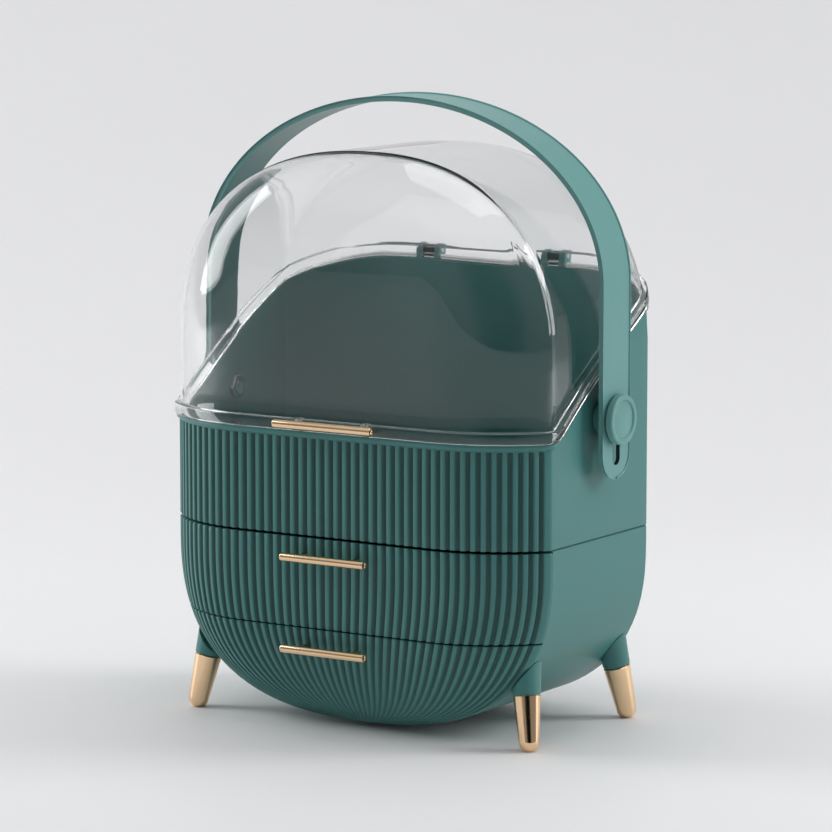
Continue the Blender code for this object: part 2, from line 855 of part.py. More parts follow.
def handle(green, parent):
    """The carry strap: two straight legs outside the body and an arch over the dome."""
    half = handle_width / 2
    end_centre_z = leg_end_z + half
    stations = [(1.0, 0.0, end_centre_z)]
    for step in range(arch_steps + 1):
        angle = math.pi * step / arch_steps
        stations.append((math.cos(angle), math.sin(angle), handle_curve_z))
    stations.append((-1.0, 0.0, end_centre_z))
    rise = handle_top_z - handle_curve_z
    cut = handle_chamfer
    section = (
        (0.0, -half + cut), (0.0, half - cut), (cut, half), (handle_thickness - cut, half),
        (handle_thickness, half - cut), (handle_thickness, -half + cut),
        (handle_thickness - cut, -half), (cut, -half),
    )
    mesh = bmesh.new()
    rows = []
    for across, up, base_z in stations:
        row = []
        for depth, y in section:
            x = across * (handle_outer_x - depth)
            z = base_z + up * (rise - depth)
            row.append(mesh.verts.new((x, y, z)))
        rows.append(row)
    for low, high in zip(rows, rows[1:]):
        for place in range(len(section)):
            following = (place + 1) % len(section)
            mesh.faces.new((low[place], low[following], high[following], high[place]))
    mesh.faces.new(rows[0])
    mesh.faces.new(rows[-1])
    strap = add_object("handle", finish_mesh(mesh, "handle"), green, parent)

    ends = bmesh.new()
    disc = [
        (handle_inner_x, half - cut), (handle_inner_x + cut, half),
        (handle_outer_x - cut, half), (handle_outer_x, half - cut),
    ]
    for side in (-1, 1):
        add_turned(ends, disc, axis_matrix((0, 0, end_centre_z), (side, 0, 0)), fine_segments)
    combine(strap, tool("handle ends", finish_mesh(ends, "handle ends")), "UNION")

    slots = bmesh.new()
    radius = pin_radius + hole_gap
    high_end = circle_points((0.0, pivot_z), radius, 0.0, math.pi, 8)
    low_end = circle_points((0.0, pivot_z - handle_travel), radius, math.pi, math.tau, 8)
    far = handle_outer_x + overrun
    add_prism(slots, high_end + low_end, 0, -far, far)
    combine(strap, tool("handle slots", finish_mesh(slots, "handle slots")), "DIFFERENCE")


def knob(name, side, green, parent):
    """A round knob with a dished face, and the pin on which the handle swings and slides."""
    face = handle_outer_x + rest_gap
    pin_end = half_width - wall - nut_thickness - pin_end_length
    profile = [
        (pin_end, pin_radius),
        (face, pin_radius),
        (face, knob_radius - knob_chamfer),
        (face + knob_chamfer, knob_radius),
        (face + knob_thickness - knob_chamfer, knob_radius),
        (face + knob_thickness, knob_radius - knob_chamfer),
        (face + knob_thickness, knob_dish_radius + knob_chamfer),
        (face + knob_thickness - knob_dish_depth, knob_dish_radius),
    ]
    matrix = axis_matrix((0, 0, pivot_z), (side, 0, 0))
    add_object(name, turned_mesh(name, profile, matrix, fine_segments), green, parent)


def pivot_ring(name, side, start, end, radius, material_used, parent):
    """A flat ring on a knob's pin between two distances from the middle."""
    bore = pin_radius + hole_gap
    profile = [(start, bore), (end, bore), (end, radius), (start, radius)]
    matrix = axis_matrix((0, 0, pivot_z), (side, 0, 0))
    data = turned_mesh(name, profile, matrix, fine_segments, closed_band=True)
    add_object(name, data, material_used, parent)


def pivot_nut(name, side, metal, parent):
    """The nut that keeps a pin in, against the inside of the box's side."""
    outer = half_width - wall - rest_gap
    pivot_ring(name, side, outer - nut_thickness, outer, nut_radius, metal, parent)


def pivot_spacer(name, side, green, parent):
    """The spacer that keeps the handle clear of the box's side and rims."""
    pivot_ring(name, side, half_width + rest_gap, handle_inner_x - rest_gap, spacer_radius, green, parent)


def leg_names():
    places = {(-1, -1): "front_left", (1, -1): "front_right", (-1, 1): "rear_left", (1, 1): "rear_right"}
    return [(signs, places[signs]) for signs in corner_signs()]


def leg_tip(name, signs, gold):
    """A tapered metal tip, round at its foot and cut level where it stands, with a spigot on top."""
    foot, way = leg_axis(*signs)
    ball = tip_low_radius
    profile = []
    for step in range(1, 6):
        angle = math.radians(90.0) * step / 5
        profile.append((ball - ball * math.cos(angle) - tip_sink, ball * math.sin(angle)))
    profile.append((tip_length, tip_high_radius))
    profile.append((tip_length, spigot_radius))
    profile.append((tip_length + spigot_length, spigot_radius))
    matrix = axis_matrix(foot, way)
    tip = add_object(name, turned_mesh(name, profile, matrix, fine_segments), gold)

    ground = bmesh.new()
    low = (foot.x - tip_length, foot.y - tip_length, -tip_length)
    add_box(ground, low, (foot.x + tip_length, foot.y + tip_length, 0.0))
    combine(tip, tool(name + " ground", finish_mesh(ground, name + " ground")), "DIFFERENCE")


def leg_sleeve(name, signs, green):
    """The tapered sleeve between a metal tip and the housing, cut to the housing's underside."""
    foot, way = leg_axis(*signs)
    start = tip_length + leg_gap
    profile = [(start, tip_high_radius), (start + sleeve_length, sleeve_high_radius)]
    matrix = axis_matrix(foot, way)
    sleeve = add_object(name, turned_mesh(name, profile, matrix, fine_segments), green)

    bore = bmesh.new()
    depth = start + spigot_length + leg_gap
    add_turned(bore, [(0.0, spigot_radius + hole_gap), (depth, spigot_radius + hole_gap)], matrix,
               small_segments)
    place, out = leg_screw_frame(*signs)
    radius = leg_screw_radius + hole_gap
    add_cylinder(bore, place, out, -overrun, leg_screw_length - wall + leg_gap, radius)
    combine(sleeve, bpy.data.objects["underside"], "DIFFERENCE")
    combine(sleeve, tool(name + " bores", finish_mesh(bore, name + " bores")), "DIFFERENCE")


def underside_tool():
    """The underside's outline, run through from front to back, so drawers pass clear of the legs."""
    mesh = bmesh.new()
    outline = []
    steps = 4 * low_steps
    for step in range(steps + 1):
        z = low_level(last_turn * step / steps, -leg_gap)
        outline.append((half_width_at(z, -leg_gap), z))
    outline += [(-x, z) for x, z in reversed(outline)]
    reach = 2 * face_reach
    add_prism(mesh, outline, 1, -reach, reach)
    tool("underside", finish_mesh(mesh, "underside"))


def leg_screw(name, signs, metal):
    """A screw from inside the housing into a leg's sleeve."""
    place, out = leg_screw_frame(*signs)
    seat = -(wall + leg_screw_seat_gap)
    profile = [
        (seat - leg_screw_head_height, leg_screw_head_radius),
        (seat, leg_screw_head_radius),
        (seat, leg_screw_radius),
        (leg_screw_length - wall, leg_screw_radius),
    ]
    matrix = axis_matrix(place, out)
    add_object(name, turned_mesh(name, profile, matrix, small_segments), metal)


def hinge_pin(name, x, metal):
    """A pin through two lugs of the box and a knuckle of the lid."""
    half = knuckle_half + hinge_gap + lug_thickness
    profile = [(-half, hinge_pin_radius), (half, hinge_pin_radius)]
    matrix = axis_matrix((x, hinge_y(), hinge_z()), (1, 0, 0))
    add_object(name, turned_mesh(name, profile, matrix, small_segments), metal)


def body_screw(name, x, y, metal):
    """A screw from the compartment's floor into the housing's ceiling."""
    seat = compartment_z + rest_gap
    profile = [
        (ceiling_z, body_screw_radius),
        (seat, body_screw_radius),
        (seat, body_screw_head_radius),
        (seat + body_screw_head_height, body_screw_head_radius),
    ]
    matrix = axis_matrix((x, y, 0), (0, 0, 1))
    add_object(name, turned_mesh(name, profile, matrix, small_segments), metal)


def build():
    for obj in list(bpy.data.objects):
        bpy.data.objects.remove(obj)
    green = green_plastic()
    inner_green = inner_plastic()
    clear = clear_plastic()
    gold = rose_gold()
    metal = steel()

    top_box(green)
    housing(green)
    drawer_shelf(inner_green)

    upper = joint_empty("upper drawer slide", (0, 0, upper_bar_z))
    lower = joint_empty("lower drawer slide", (0, 0, lower_bar_z))
    hinge = joint_empty("lid hinge", (0, hinge_y(), hinge_z()))
    swing = joint_empty("handle swing", (0, 0, pivot_z))

    drawers = (
        ("upper_drawer", upper, upper_front_top_z, upper_front_low_z, upper_bar_z,
         upper_tray_top_z, upper_tray_low_z, 3),
        ("lower_drawer", lower, lower_front_top_z, None, lower_bar_z,
         lower_tray_top_z, None, low_steps),
    )
    for name, parent, top_z, low_z, bar_z, tray_top_z, tray_low_z, steps in drawers:
        holes = front_holes(name + " grip holes", bar_z, drawer_bar_length)
        drawer_front(name + "_front", top_z, low_z, steps, green, parent, holes)
        drawer_tray(name + "_tray", tray_top_z, tray_low_z, steps, inner_green, parent, holes)
        seat_y = -middle_reach(bar_z + post_radius, 0.0)
        grip_bar(name + "_bar", drawer_bar_length, bar_z, seat_y, gold, parent)
        head_y = screw_seat_y(bar_z, tray_levels(tray_top_z, tray_low_z, tray_wall, steps))
        grip_screws(name + "_bar_screw", drawer_bar_length, bar_z, head_y, metal, parent)

    lid(clear, hinge)
    grip_bar("lid_bar", lid_bar_length, lid_bar_z, -(face_reach + rim_reach), gold, hinge)
    grip_screws("lid_bar_screw", lid_bar_length, lid_bar_z, -(face_reach - lid_wall), metal, hinge)

    handle(green, swing)
    for side, label in ((-1, "left"), (1, "right")):
        knob("knob_" + label, side, green, swing)
        pivot_spacer("pivot_spacer_" + label, side, green, swing)
        pivot_nut("pivot_nut_" + label, side, metal, swing)
        hinge_pin("hinge_pin_" + label, side * hinge_x, metal)

    underside_tool()
    for signs, label in leg_names():
        leg_tip("leg_tip_" + label, signs, gold)
        leg_sleeve("leg_sleeve_" + label, signs, green)
        leg_screw("leg_screw_" + label, signs, metal)
    for number, (x, y) in enumerate(body_screw_places(), 1):
        body_screw(f"body_screw_{number}", x, y, metal)


build()
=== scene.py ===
"""Looks of the dustproof makeup organizer, built round its packed CAD part.

Metres, Z up, front towards -Y, origin on the ground under the middle of the body."""

import math

import bmesh
import bpy
from bpy.props import FloatProperty, FloatVectorProperty, IntProperty, PointerProperty
from mathutils import Matrix, Vector


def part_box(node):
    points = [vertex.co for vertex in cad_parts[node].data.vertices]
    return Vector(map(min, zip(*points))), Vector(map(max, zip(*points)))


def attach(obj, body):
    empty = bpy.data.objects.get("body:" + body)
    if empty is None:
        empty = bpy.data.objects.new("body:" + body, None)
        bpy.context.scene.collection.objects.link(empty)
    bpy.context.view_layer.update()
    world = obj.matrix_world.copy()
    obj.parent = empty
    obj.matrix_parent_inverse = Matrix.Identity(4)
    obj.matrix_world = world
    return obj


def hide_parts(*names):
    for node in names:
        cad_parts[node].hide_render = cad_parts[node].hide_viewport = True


bl_info = {
    "name": "Dustproof makeup organizer",
    "version": (1, 0, 0),
    "blender": (4, 5, 0),
    "location": "View3D > Sidebar > Organizer",
    "description": "Ribbed organizer with a clear dome, two drawers and a carry handle",
    "category": "Object",
}

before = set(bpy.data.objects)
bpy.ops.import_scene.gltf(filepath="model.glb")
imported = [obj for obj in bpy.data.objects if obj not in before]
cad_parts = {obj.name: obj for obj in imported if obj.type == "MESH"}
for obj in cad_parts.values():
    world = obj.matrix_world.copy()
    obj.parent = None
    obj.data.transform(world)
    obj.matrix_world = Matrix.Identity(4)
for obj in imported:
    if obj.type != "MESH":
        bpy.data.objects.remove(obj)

PIVOT_Z = 0.192  # height of the pins that the handle swings on
SHARP_ANGLE = 38.0  # degrees past which an edge is shaded sharp
MERGE_DISTANCE = 1e-7  # points closer than this become one
UNDERSIDE_STEPS = 26  # rows down the round underside
LEG_SEGMENTS = 72  # faces round a leg
NOISE_RANGE = (0.25, 0.75)  # where most of a noise's values lie

# Turns in degrees of the dome's rows, closer together near the top, where its skin runs level
DOME_TURNS = [30 + 2.4 * step for step in range(20)]
DOME_TURNS += [75.6 + 1.2 * step for step in range(1, 12)] + [89.4]

# Side across, side along and label of each leg
LEGS = ((-1, -1, "front_left"), (1, -1, "front_right"), (-1, 1, "rear_left"), (1, 1, "rear_right"))

# CAD node, label and body of each grip bar
BARS = (("lid_bar", "dome", "lid"), ("upper_drawer_bar", "upper", "upper_drawer"),
        ("lower_drawer_bar", "lower", "lower_drawer"))

# Name, place, aim, breadth and height, and the size that holds the power of each lamp
LAMPS = (
    ("window on the right", (1.5, 0.95, 0.9), (0.0, 0.0, 0.15), (0.7, 1.4), "window_power"),
    ("panel above", (0.0, 0.35, 2.2), (0.0, 0.1, 0.1), (1.7, 1.7), "above_power"),
    ("panel on the left", (-2.0, -0.7, 1.0), (0.0, 0.0, 0.2), (1.0, 1.8), "left_power"),
)


def high(node):
    """Highest corner of a CAD node."""
    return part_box(node)[1]


def low(node):
    """Lowest corner of a CAD node."""
    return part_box(node)[0]


def length(name, description, default):
    """A size in metres that a user can change."""
    return FloatProperty(
        name=name, description=description, default=default, precision=4,
        subtype="DISTANCE", unit="LENGTH",
    )


def share(name, description, default, largest=1.0):
    """A plain number that a user can change."""
    return FloatProperty(name=name, description=description, default=default, min=0.0, max=largest)


def rotation(name, description, degrees):
    """An angle that a user can change."""
    return FloatProperty(
        name=name, description=description, default=math.radians(degrees),
        subtype="ANGLE", unit="ROTATION",
    )


def colour(name, description, default):
    """A colour that a user can change."""
    return FloatVectorProperty(
        name=name, description=description, default=default, size=3, min=0.0, max=1.0,
        subtype="COLOR",
    )


class OrganizerBody(bpy.types.PropertyGroup):
    """Skin of the capsule that every part of the body follows."""
    half_width: length("Half width", "Middle plane to the flat side", high("housing").x)
    face_reach: length("Face reach", "Middle plane to a bulged face's crest", high("housing").y)
    side_reach: length("Side reach", "Middle plane to the end of the flat side", 0.056)
    flat_half: length("Flat half", "Half of the flat middle of a bulged face", 0.068)
    bottom_z: length("Bottom", "Lowest point of the round underside", 0.004)
    low_curve_z: length("Underside start", "Height where the underside starts to curve", 0.110)
    lid_curve_z: length("Dome start", "Height where the dome starts to curve", 0.230)
    lid_top_z: length("Dome top", "Highest point of the dome", high("lid").z)
    low_power: share("Underside fullness", "Power of the underside's curve", 2.5, 8.0)
    lid_power: share("Dome fullness", "Power of the dome's curve", 2.3, 8.0)
    wall: length("Wall", "Thickness of the green shells", 0.003)
    lid_wall: length("Dome wall", "Thickness of the clear dome", 0.0025)
    edge: length("Edge rounding", "Rounding between a bulged face and the side", 0.0009)
    dome_edge: length("Dome edge rounding", "Rounding along the dome's two arches", 0.0055)
    soft: length("Lip rounding", "Rounding of thin lips", 0.0006)
    floor_round: length("Floor rounding", "Rounding round the compartment's floor", 0.003)


class OrganizerRibs(bpy.types.PropertyGroup):
    """Upright ribs on the bulged faces."""
    count: IntProperty(name="Count", description="Ribs across one face", default=46, min=1)
    depth: length("Depth", "Depth of the grooves between ribs", 0.0018)
    crest: share("Crest share", "Share of a rib's pitch that its crest takes", 0.55)
    flank: share("Flank share", "Share of half a pitch that a crest falls over", 0.42)
    rounding: share("Crest rounding", "Share of the depth that rounds the crest", 0.3)
    least: share("Least depth", "Share of the depth kept where the face is flat", 0.3)
    end_height: length("Run-out", "Height over which grooves run out below the rim", 0.0012)
    low_run: length("Underside run-out", "Height over which grooves run out at the bottom", 0.004)


class OrganizerRim(bpy.types.PropertyGroup):
    """Sloping seam between the box and the dome."""
    front_z: length("Front height", "Seam height along the front", 0.183)
    rise: share("Rise", "Slope where the seam starts to climb", 0.79, 3.0)
    bend: length("Bend", "Length over which the climb levels out", 0.80)
    reach: length("Reach", "How far the clear flange stands out", 0.004)
    height: length("Box flange", "Height of the green flange", 0.003)
    box_reach: length("Box reach", "How far the green flange stands out", 0.0018)
    lid_height: length("Dome flange", "Height of the clear flange", 0.007)
    lid_round: length("Dome flange rounding", "Rounding of the clear flange", 0.0012)
    gap: length("Gap", "Running gap between parts", 0.0003)
    hinge_x: length("Hinge place", "Middle plane to a hinge", 0.045)
    knuckle_radius: length("Knuckle radius", "Radius of a hinge eye", 0.0036)
    knuckle_half: length("Knuckle half", "Half length of the dome's eye", 0.0042)
    lug: length("Lug", "Thickness of a box lug", 0.004)
    lug_foot: length("Lug foot", "How far a lug's foot reaches down below the green flange", 0.005)
    eye_inset: length("Eye inset", "How far the dome's eyes keep inside its flange's height", 0.001)
    pin_radius: length("Pin radius", "Radius of a hinge pin", 0.0016)


class OrganizerDrawers(bpy.types.PropertyGroup):
    """Seams and trays of the two drawers."""
    housing_top_z: length("Housing top", "Top of the drawer housing", high("housing").z)
    box_bottom_z: length("Box bottom", "Underside of the compartment", low("top_box").z)
    upper_top_z: length("Upper front top", "Top of the upper front", high("upper_drawer_front").z)
    upper_low_z: length("Upper front foot", "Foot of the upper front", low("upper_drawer_front").z)
    lower_top_z: length("Lower front top", "Top of the lower front", high("lower_drawer_front").z)
    upper_tray_z: length("Upper tray top", "Top of the upper tray", high("upper_drawer_tray").z)
    upper_tray_low_z: length("Upper tray foot", "Foot of the upper tray", low("upper_drawer_tray").z)
    lower_tray_z: length("Lower tray top", "Top of the lower tray", high("lower_drawer_tray").z)
    tray_back_y: length("Tray back", "Back of both trays", high("upper_drawer_tray").y)
    tray_wall: length("Tray wall", "Thickness of the trays", 0.0022)
    tray_corner: length("Tray corner", "Radius of a tray's back corners", 0.005)
    side_gap: length("Side gap", "Clearance between tray and housing", 0.004)
    lip: length("Lip", "How far a front stops short of the side's end", 0.0015)
    ceiling: length("Ceiling", "Thickness of the housing's top", 0.0027)
    rail_x: length("Rail place", "Middle plane to a rail", 0.045)
    rail_half: length("Rail breadth", "Half breadth of a rail", 0.003)
    rail_soft: length("Rail edge", "Chamfer of a rail", 0.0004)
    ledge_reach: length("Ledge reach", "How far a ledge stands in from the wall", 0.003)
    ledge_height: length("Ledge height", "Thickness of a ledge", 0.0018)
    ledge_soft: length("Ledge edge", "Chamfer of a ledge", 0.0003)


class OrganizerBars(bpy.types.PropertyGroup):
    """Round grip bars."""
    radius: length("Radius", "Radius of a bar", 0.0026)
    chamfer: length("End rounding", "Rounding of a bar's ends", 0.0005)
    dish_radius: length("Dish radius", "Radius of the dish in each end", 0.0017)
    dish_depth: length("Dish depth", "Depth of the dish in each end", 0.0008)
    post_radius: length("Post radius", "Radius of the two posts", 0.0021)
    post_inset: length("Post inset", "Bar's end to a post", 0.011)


class OrganizerHandle(bpy.types.PropertyGroup):
    """Carry strap with its knobs."""
    outer_x: length("Half span", "Middle plane to the strap's outside", high("handle").x)
    top_z: length("Top", "Top of the arch", high("handle").z)
    end_z: length("Leg end", "Lowest point of a leg", low("handle").z)
    half: length("Half breadth", "Half breadth of the strap", high("handle").y)
    thickness: length("Thickness", "Thickness of the strap", 0.0042)
    chamfer: length("Edge", "Chamfer along the strap", 0.0008)
    curve_lift: length("Arch start", "Dome start to arch start", 0.042)
    pivot_z: length("Pivot", "Height of the pivot", PIVOT_Z)
    travel: length("Travel", "Length the strap slides", 0.023)
    pin_radius: length("Pin radius", "Radius of a knob's pin", 0.004)
    knob_radius: length("Knob radius", "Radius of a knob", high("knob_right").z - PIVOT_Z)
    knob_face_x: length("Knob face", "Middle plane to a knob's face", high("knob_right").x)
    dish_radius: length("Dish radius", "Radius of the dish in a knob", 0.0115)
    dish_depth: length("Dish depth", "Depth of the dish in a knob", 0.0008)
    knob_round: length("Knob rounding", "Rounding of a knob's edge", 0.0011)
    ring_round: length("Ring rounding", "Chamfer of the spacers and nuts", 0.0004)


class OrganizerLegs(bpy.types.PropertyGroup):
    """Splayed legs with metal tips."""
    foot_x: length("Foot across", "Middle plane to a foot", 0.120)
    foot_y: length("Foot along", "Middle plane to a foot, front to back", 0.058)
    splay: rotation("Splay", "Lean outwards", 13.0)
    tip_length: length("Tip length", "Length of a metal tip", 0.033)
    tip_low_radius: length("Foot radius", "Radius of the round foot", 0.0062)
    tip_high_radius: length("Tip radius", "Radius at the top of a tip", 0.0083)
    sleeve_radius: length("Sleeve radius", "Radius at the top of a sleeve", 0.0105)
    sleeve_length: length("Sleeve length", "Length of a sleeve before it is cut", 0.034)
    tip_soft: length("Tip edge", "Chamfer between a tip and its sleeve", 0.0005)
    foot_flat: length("Foot flat", "How much of the round foot is cut away level", 0.0005)
    spigot_radius: length("Spigot radius", "Radius of the spigot on a tip", 0.004)
    spigot_length: length("Spigot length", "Length of the spigot on a tip", 0.0045)
    screw_turn: rotation("Screw place", "Turn along the underside to a screw", 33.0)


class OrganizerScrews(bpy.types.PropertyGroup):
    """Cross-recessed screws."""
    floor_head_radius: length("Floor head", "Head radius, compartment's floor", 0.0032)
    floor_head_height: length("Floor head height", "Head height, compartment's floor", 0.002)
    floor_shank_radius: length("Floor shank", "Shank radius, compartment's floor", 0.0016)
    floor_shank_length: length("Floor shank length", "Shank length, compartment's floor", 0.006)
    leg_head_radius: length("Leg head", "Head radius, legs", 0.003)
    leg_head_height: length("Leg head height", "Head height, legs", 0.0018)
    leg_shank_radius: length("Leg shank", "Shank radius, legs", 0.0014)
    leg_shank_length: length("Leg shank length", "Shank length, legs", 0.0085)
    leg_boss: length("Leg boss", "Housing's inner skin to the seat of a leg's screw", 0.001)
    bar_head_radius: length("Bar head", "Head radius, grip bars", 0.0028)
    bar_head_height: length("Bar head height", "Head height, grip bars", 0.0016)
    bar_shank_share: share("Bar shank", "Shank's share of the post's radius, grip bars", 0.52)


class OrganizerColours(bpy.types.PropertyGroup):
    """Colours of the materials."""
    green: colour("Green", "Outside plastic", (0.066, 0.215, 0.205))
    # Paler green painted on the strap and knobs as the window's light and sheen
    lit_handle_green: colour("Handle green", "Carry strap and knobs", (0.140, 0.332, 0.318))
    inner_green: colour("Inner green", "Trays and shelf", (0.055, 0.150, 0.142))
    clear: colour("Clear", "Dome", (0.985, 0.99, 0.99))
    gold: colour("Rose gold", "Bars and leg tips", (0.94, 0.66, 0.41))
    steel: colour("Steel", "Screws, nuts and pins", (0.56, 0.57, 0.58))
    floor: colour("Floor", "Ground and backdrop", (0.80, 0.80, 0.81))
    walls: colour("Walls", "Room round the object", (0.86, 0.88, 0.90))


class OrganizerStage(bpy.types.PropertyGroup):
    """Camera, lights and room."""
    turn: rotation("Turn", "How far to the right of the front the camera stands", 32.707)
    tilt: rotation("Tilt", "How far above level the camera stands", 7.948)
    distance: length("Distance", "Camera's distance along its view", 2.57727)
    aside: length("Aside", "Camera's shift to its right", 0.002909)
    above: length("Above", "Camera's shift upwards", 0.181327)
    lens: share("Lens", "Focal length in millimetres", 181.73, 1000.0)
    sweep_half: length("Paper breadth", "Half breadth of the paper sweep", 4.0)
    sweep_front: length("Paper front", "Origin to the paper's front edge", 3.0)
    sweep_back: length("Paper back", "Origin to where the paper starts to rise", 0.8)
    sweep_bend: length("Paper bend", "Radius of the paper's bend", 1.2)
    sweep_top: length("Paper top", "Height of the paper's upper edge", 4.5)
    window_power: share("Window power", "Watts of the window on the right", 18.0, 1000.0)
    above_power: share("Overhead power", "Watts of the panel above", 12.0, 1000.0)
    left_power: share("Left power", "Watts of the panel on the left", 26.0, 1000.0)
    room: share("Room light", "Strength of the room's light", 0.28, 10.0)
    ceiling: share("Ceiling light", "Ceiling's brightness, against the walls' 1", 2.2, 10.0)
    dark: share("Dark side", "Brightness behind the camera, against the walls' 1", 0.02)


GROUPS = {
    "organizer_body": OrganizerBody,
    "organizer_ribs": OrganizerRibs,
    "organizer_rim": OrganizerRim,
    "organizer_drawers": OrganizerDrawers,
    "organizer_bars": OrganizerBars,
    "organizer_handle": OrganizerHandle,
    "organizer_legs": OrganizerLegs,
    "organizer_screws": OrganizerScrews,
    "organizer_colours": OrganizerColours,
    "organizer_stage": OrganizerStage,
}


def sizes(name):
    """One group of the scene's sizes, by its short name."""
    return getattr(bpy.context.scene, "organizer_" + name)


# Rows of numbers


def spread(first, last, steps):
    """Evenly spaced numbers from the first to the last."""
    return [first + (last - first) * step / steps for step in range(steps + 1)]


def arc(centre, radius, first, last, steps):
    """Points of an arc between two angles in degrees."""
    points = []
    for degrees in spread(first, last, steps):
        turn = math.radians(degrees)
        points.append((centre[0] + radius * math.cos(turn), centre[1] + radius * math.sin(turn)))
    return points


def quarter(steps):
    """How far a quarter round falls back from its two sides, as shares of its radius."""
    return [(1 - along, 1 - across) for along, across in arc((0.0, 0.0), 1.0, 0, 90, steps)]


# Shape of the body's skin


def bulge_arc(inset):
    """Corner radius, its turn and where its outer end lies, on a skin set in from the outside."""
    body = sizes("body")
    bulge = body.face_reach - body.side_reach
    run = body.half_width - body.flat_half
    radius = (run ** 2 + bulge ** 2) / (2 * bulge) - inset
    turn = math.asin((run - inset) / radius)
    return radius, turn, body.face_reach - inset - radius * (1 - math.cos(turn))


def bulge_share(z, inset):
    """The share of the bulge left at a height: it dies out towards the underside and the dome."""
    body = sizes("body")
    radius, _, corner_y = bulge_arc(inset)
    full = body.face_reach - inset - corner_y
    distance = max(0.0, min(z - body.bottom_z, body.lid_top_z - z) - inset)
    across = body.half_width - inset - distance - body.flat_half
    if across <= 0:
        return 1.0
    return (full - radius + math.sqrt(radius ** 2 - across ** 2)) / full


def curve_at(z, inset):
    """How deep a height lies in the underside's or dome's curve, and its reach and power."""
    body = sizes("body")
    if z < body.low_curve_z:
        reach = body.low_curve_z - body.bottom_z - inset
        return min((body.low_curve_z - z) / reach, 1.0), reach, body.low_power
    if z > body.lid_curve_z:
        reach = body.lid_top_z - inset - body.lid_curve_z
        return min((z - body.lid_curve_z) / reach, 1.0), reach, body.lid_power
    return 0.0, 1.0, 2.0


def half_width_at(z, inset):
    """Middle plane to the body's side at a height."""
    depth, _, power = curve_at(z, inset)
    return (sizes("body").half_width - inset) * (1 - depth ** power) ** (1 / power)


def edge_distance(x, z, inset):
    """How far a place on a bulged face lies inside the body's outline seen from the front."""
    half = sizes("body").half_width - inset
    depth, reach, power = curve_at(z, inset)
    across = min(abs(x) / half, 1.0)
    level = (across ** power + depth ** power) ** (1 / power)
    if level < 0.5:
        return half
    slope = math.hypot((across / level) ** (power - 1) / half,
                       (depth / level) ** (power - 1) / reach)
    return max(0.0, (1 - level) / slope)


def round_over(distance, radius):
    """How far a rounded edge falls back at a distance inside it."""
    if distance >= radius:
        return 0.0
    return radius - math.sqrt(radius ** 2 - (radius - distance) ** 2)


def low_level(turn, inset):
    """Height on the round underside after a turn from its straight side."""
    body = sizes("body")
    reach = body.low_curve_z - body.bottom_z - inset
    return body.low_curve_z - reach * math.sin(turn) ** (2 / body.low_power)


def low_levels(top, inset, steps):
    """Heights from a top down to the bottom, closer where the underside curves."""
    body = sizes("body")
    levels, first = [], 0.0
    if top > body.low_curve_z:
        levels.append(top)
    else:
        depth = (body.low_curve_z - top) / (body.low_curve_z - body.bottom_z - inset)
        first = math.asin(depth ** (body.low_power / 2))
    last = math.radians(88.8)  # just short of the middle, where the skin runs level
    return levels + [low_level(turn, inset) for turn in spread(first, last, steps)]


def underside_turn(x, inset):
    """Turn along the round underside at a distance from the middle plane."""
    body = sizes("body")
    return math.acos((x / (body.half_width - inset)) ** (body.low_power / 2))


def groove_strength(z):
    """The share of a groove's depth at a height: it runs out over the lowest part."""
    return min(1.0, (z - sizes("body").bottom_z) / sizes("ribs").low_run)


def dome_level(turn, inset):
    """Height on the dome after a turn from its straight side."""
    body = sizes("body")
    reach = body.lid_top_z - inset - body.lid_curve_z
    return body.lid_curve_z + reach * math.sin(turn) ** (2 / body.lid_power)


def flat(z):
    """A level plane at one height."""
    return lambda y: z


def rim_turn_y():
    """How far from the middle plane the rim starts to climb."""
    return bulge_arc(2 * sizes("body").wall)[2] - sizes("rim").gap


def rim_level(offset):
    """The rim's curve, raised by an offset: level along the front, then climbing to the back."""
    rim = sizes("rim")
    front_z, rise, bend, turn_y = rim.front_z, rim.rise, rim.bend, rim_turn_y()

    def level(y):
        """Height of the rim at a depth."""
        run = max(0.0, y + turn_y)
        return front_z + offset + rise * run - run ** 2 / bend
    return level


def blend_level(first, second, part):
    """A surface part of the way from one to another."""
    return lambda y: first(y) + (second(y) - first(y)) * part


def middle_reach(z, inset):
    """How far the middle of the bulged face stands from the middle plane at a height."""
    corner_y = bulge_arc(inset)[2]
    return corner_y + (sizes("body").face_reach - inset - corner_y) * bulge_share(z, inset)


def edge_places(edge):
    """Places beside the two ends of a face, closer together towards its rounded edge."""
    radius, turn = bulge_arc(0.0)[:2]
    run = (sizes("body").flat_half + radius * turn) * math.cos(turn)
    edge_shares = (0.03, 0.12, 0.28, 0.5, 0.75, 1.0)
    near = [1 - edge * part / run for part in edge_shares]
    return [-place for place in near] + near


def ribbed_places(edge):
    """Places across a ribbed face, closer together on each crest's two flanks."""
    count = sizes("ribs").count
    half_shares = (0.0, 0.08, 0.17, 0.21, 0.25, 0.29, 0.33, 0.42)
    pitch_shares = [*half_shares, 0.5, *(1 - part for part in reversed(half_shares[1:]))]
    places = [2 * (rib + part) / count - 1 for rib in range(count) for part in pitch_shares]
    return sorted(places + [1.0] + edge_places(edge))


def plain_places(edge, steps=22):
    """Places across a smooth face: few on its flat middle, more round its corners."""
    radius, turn = bulge_arc(0.0)[:2]
    flat_share = sizes("body").flat_half / (sizes("body").flat_half + radius * turn)
    bend = [1 - (1 - flat_share) * step / steps for step in range(steps + 1)]
    middle = [flat_share * (step / 4 - 1) for step in range(1, 8)]
    return sorted(bend + [-place for place in bend] + middle + edge_places(edge))


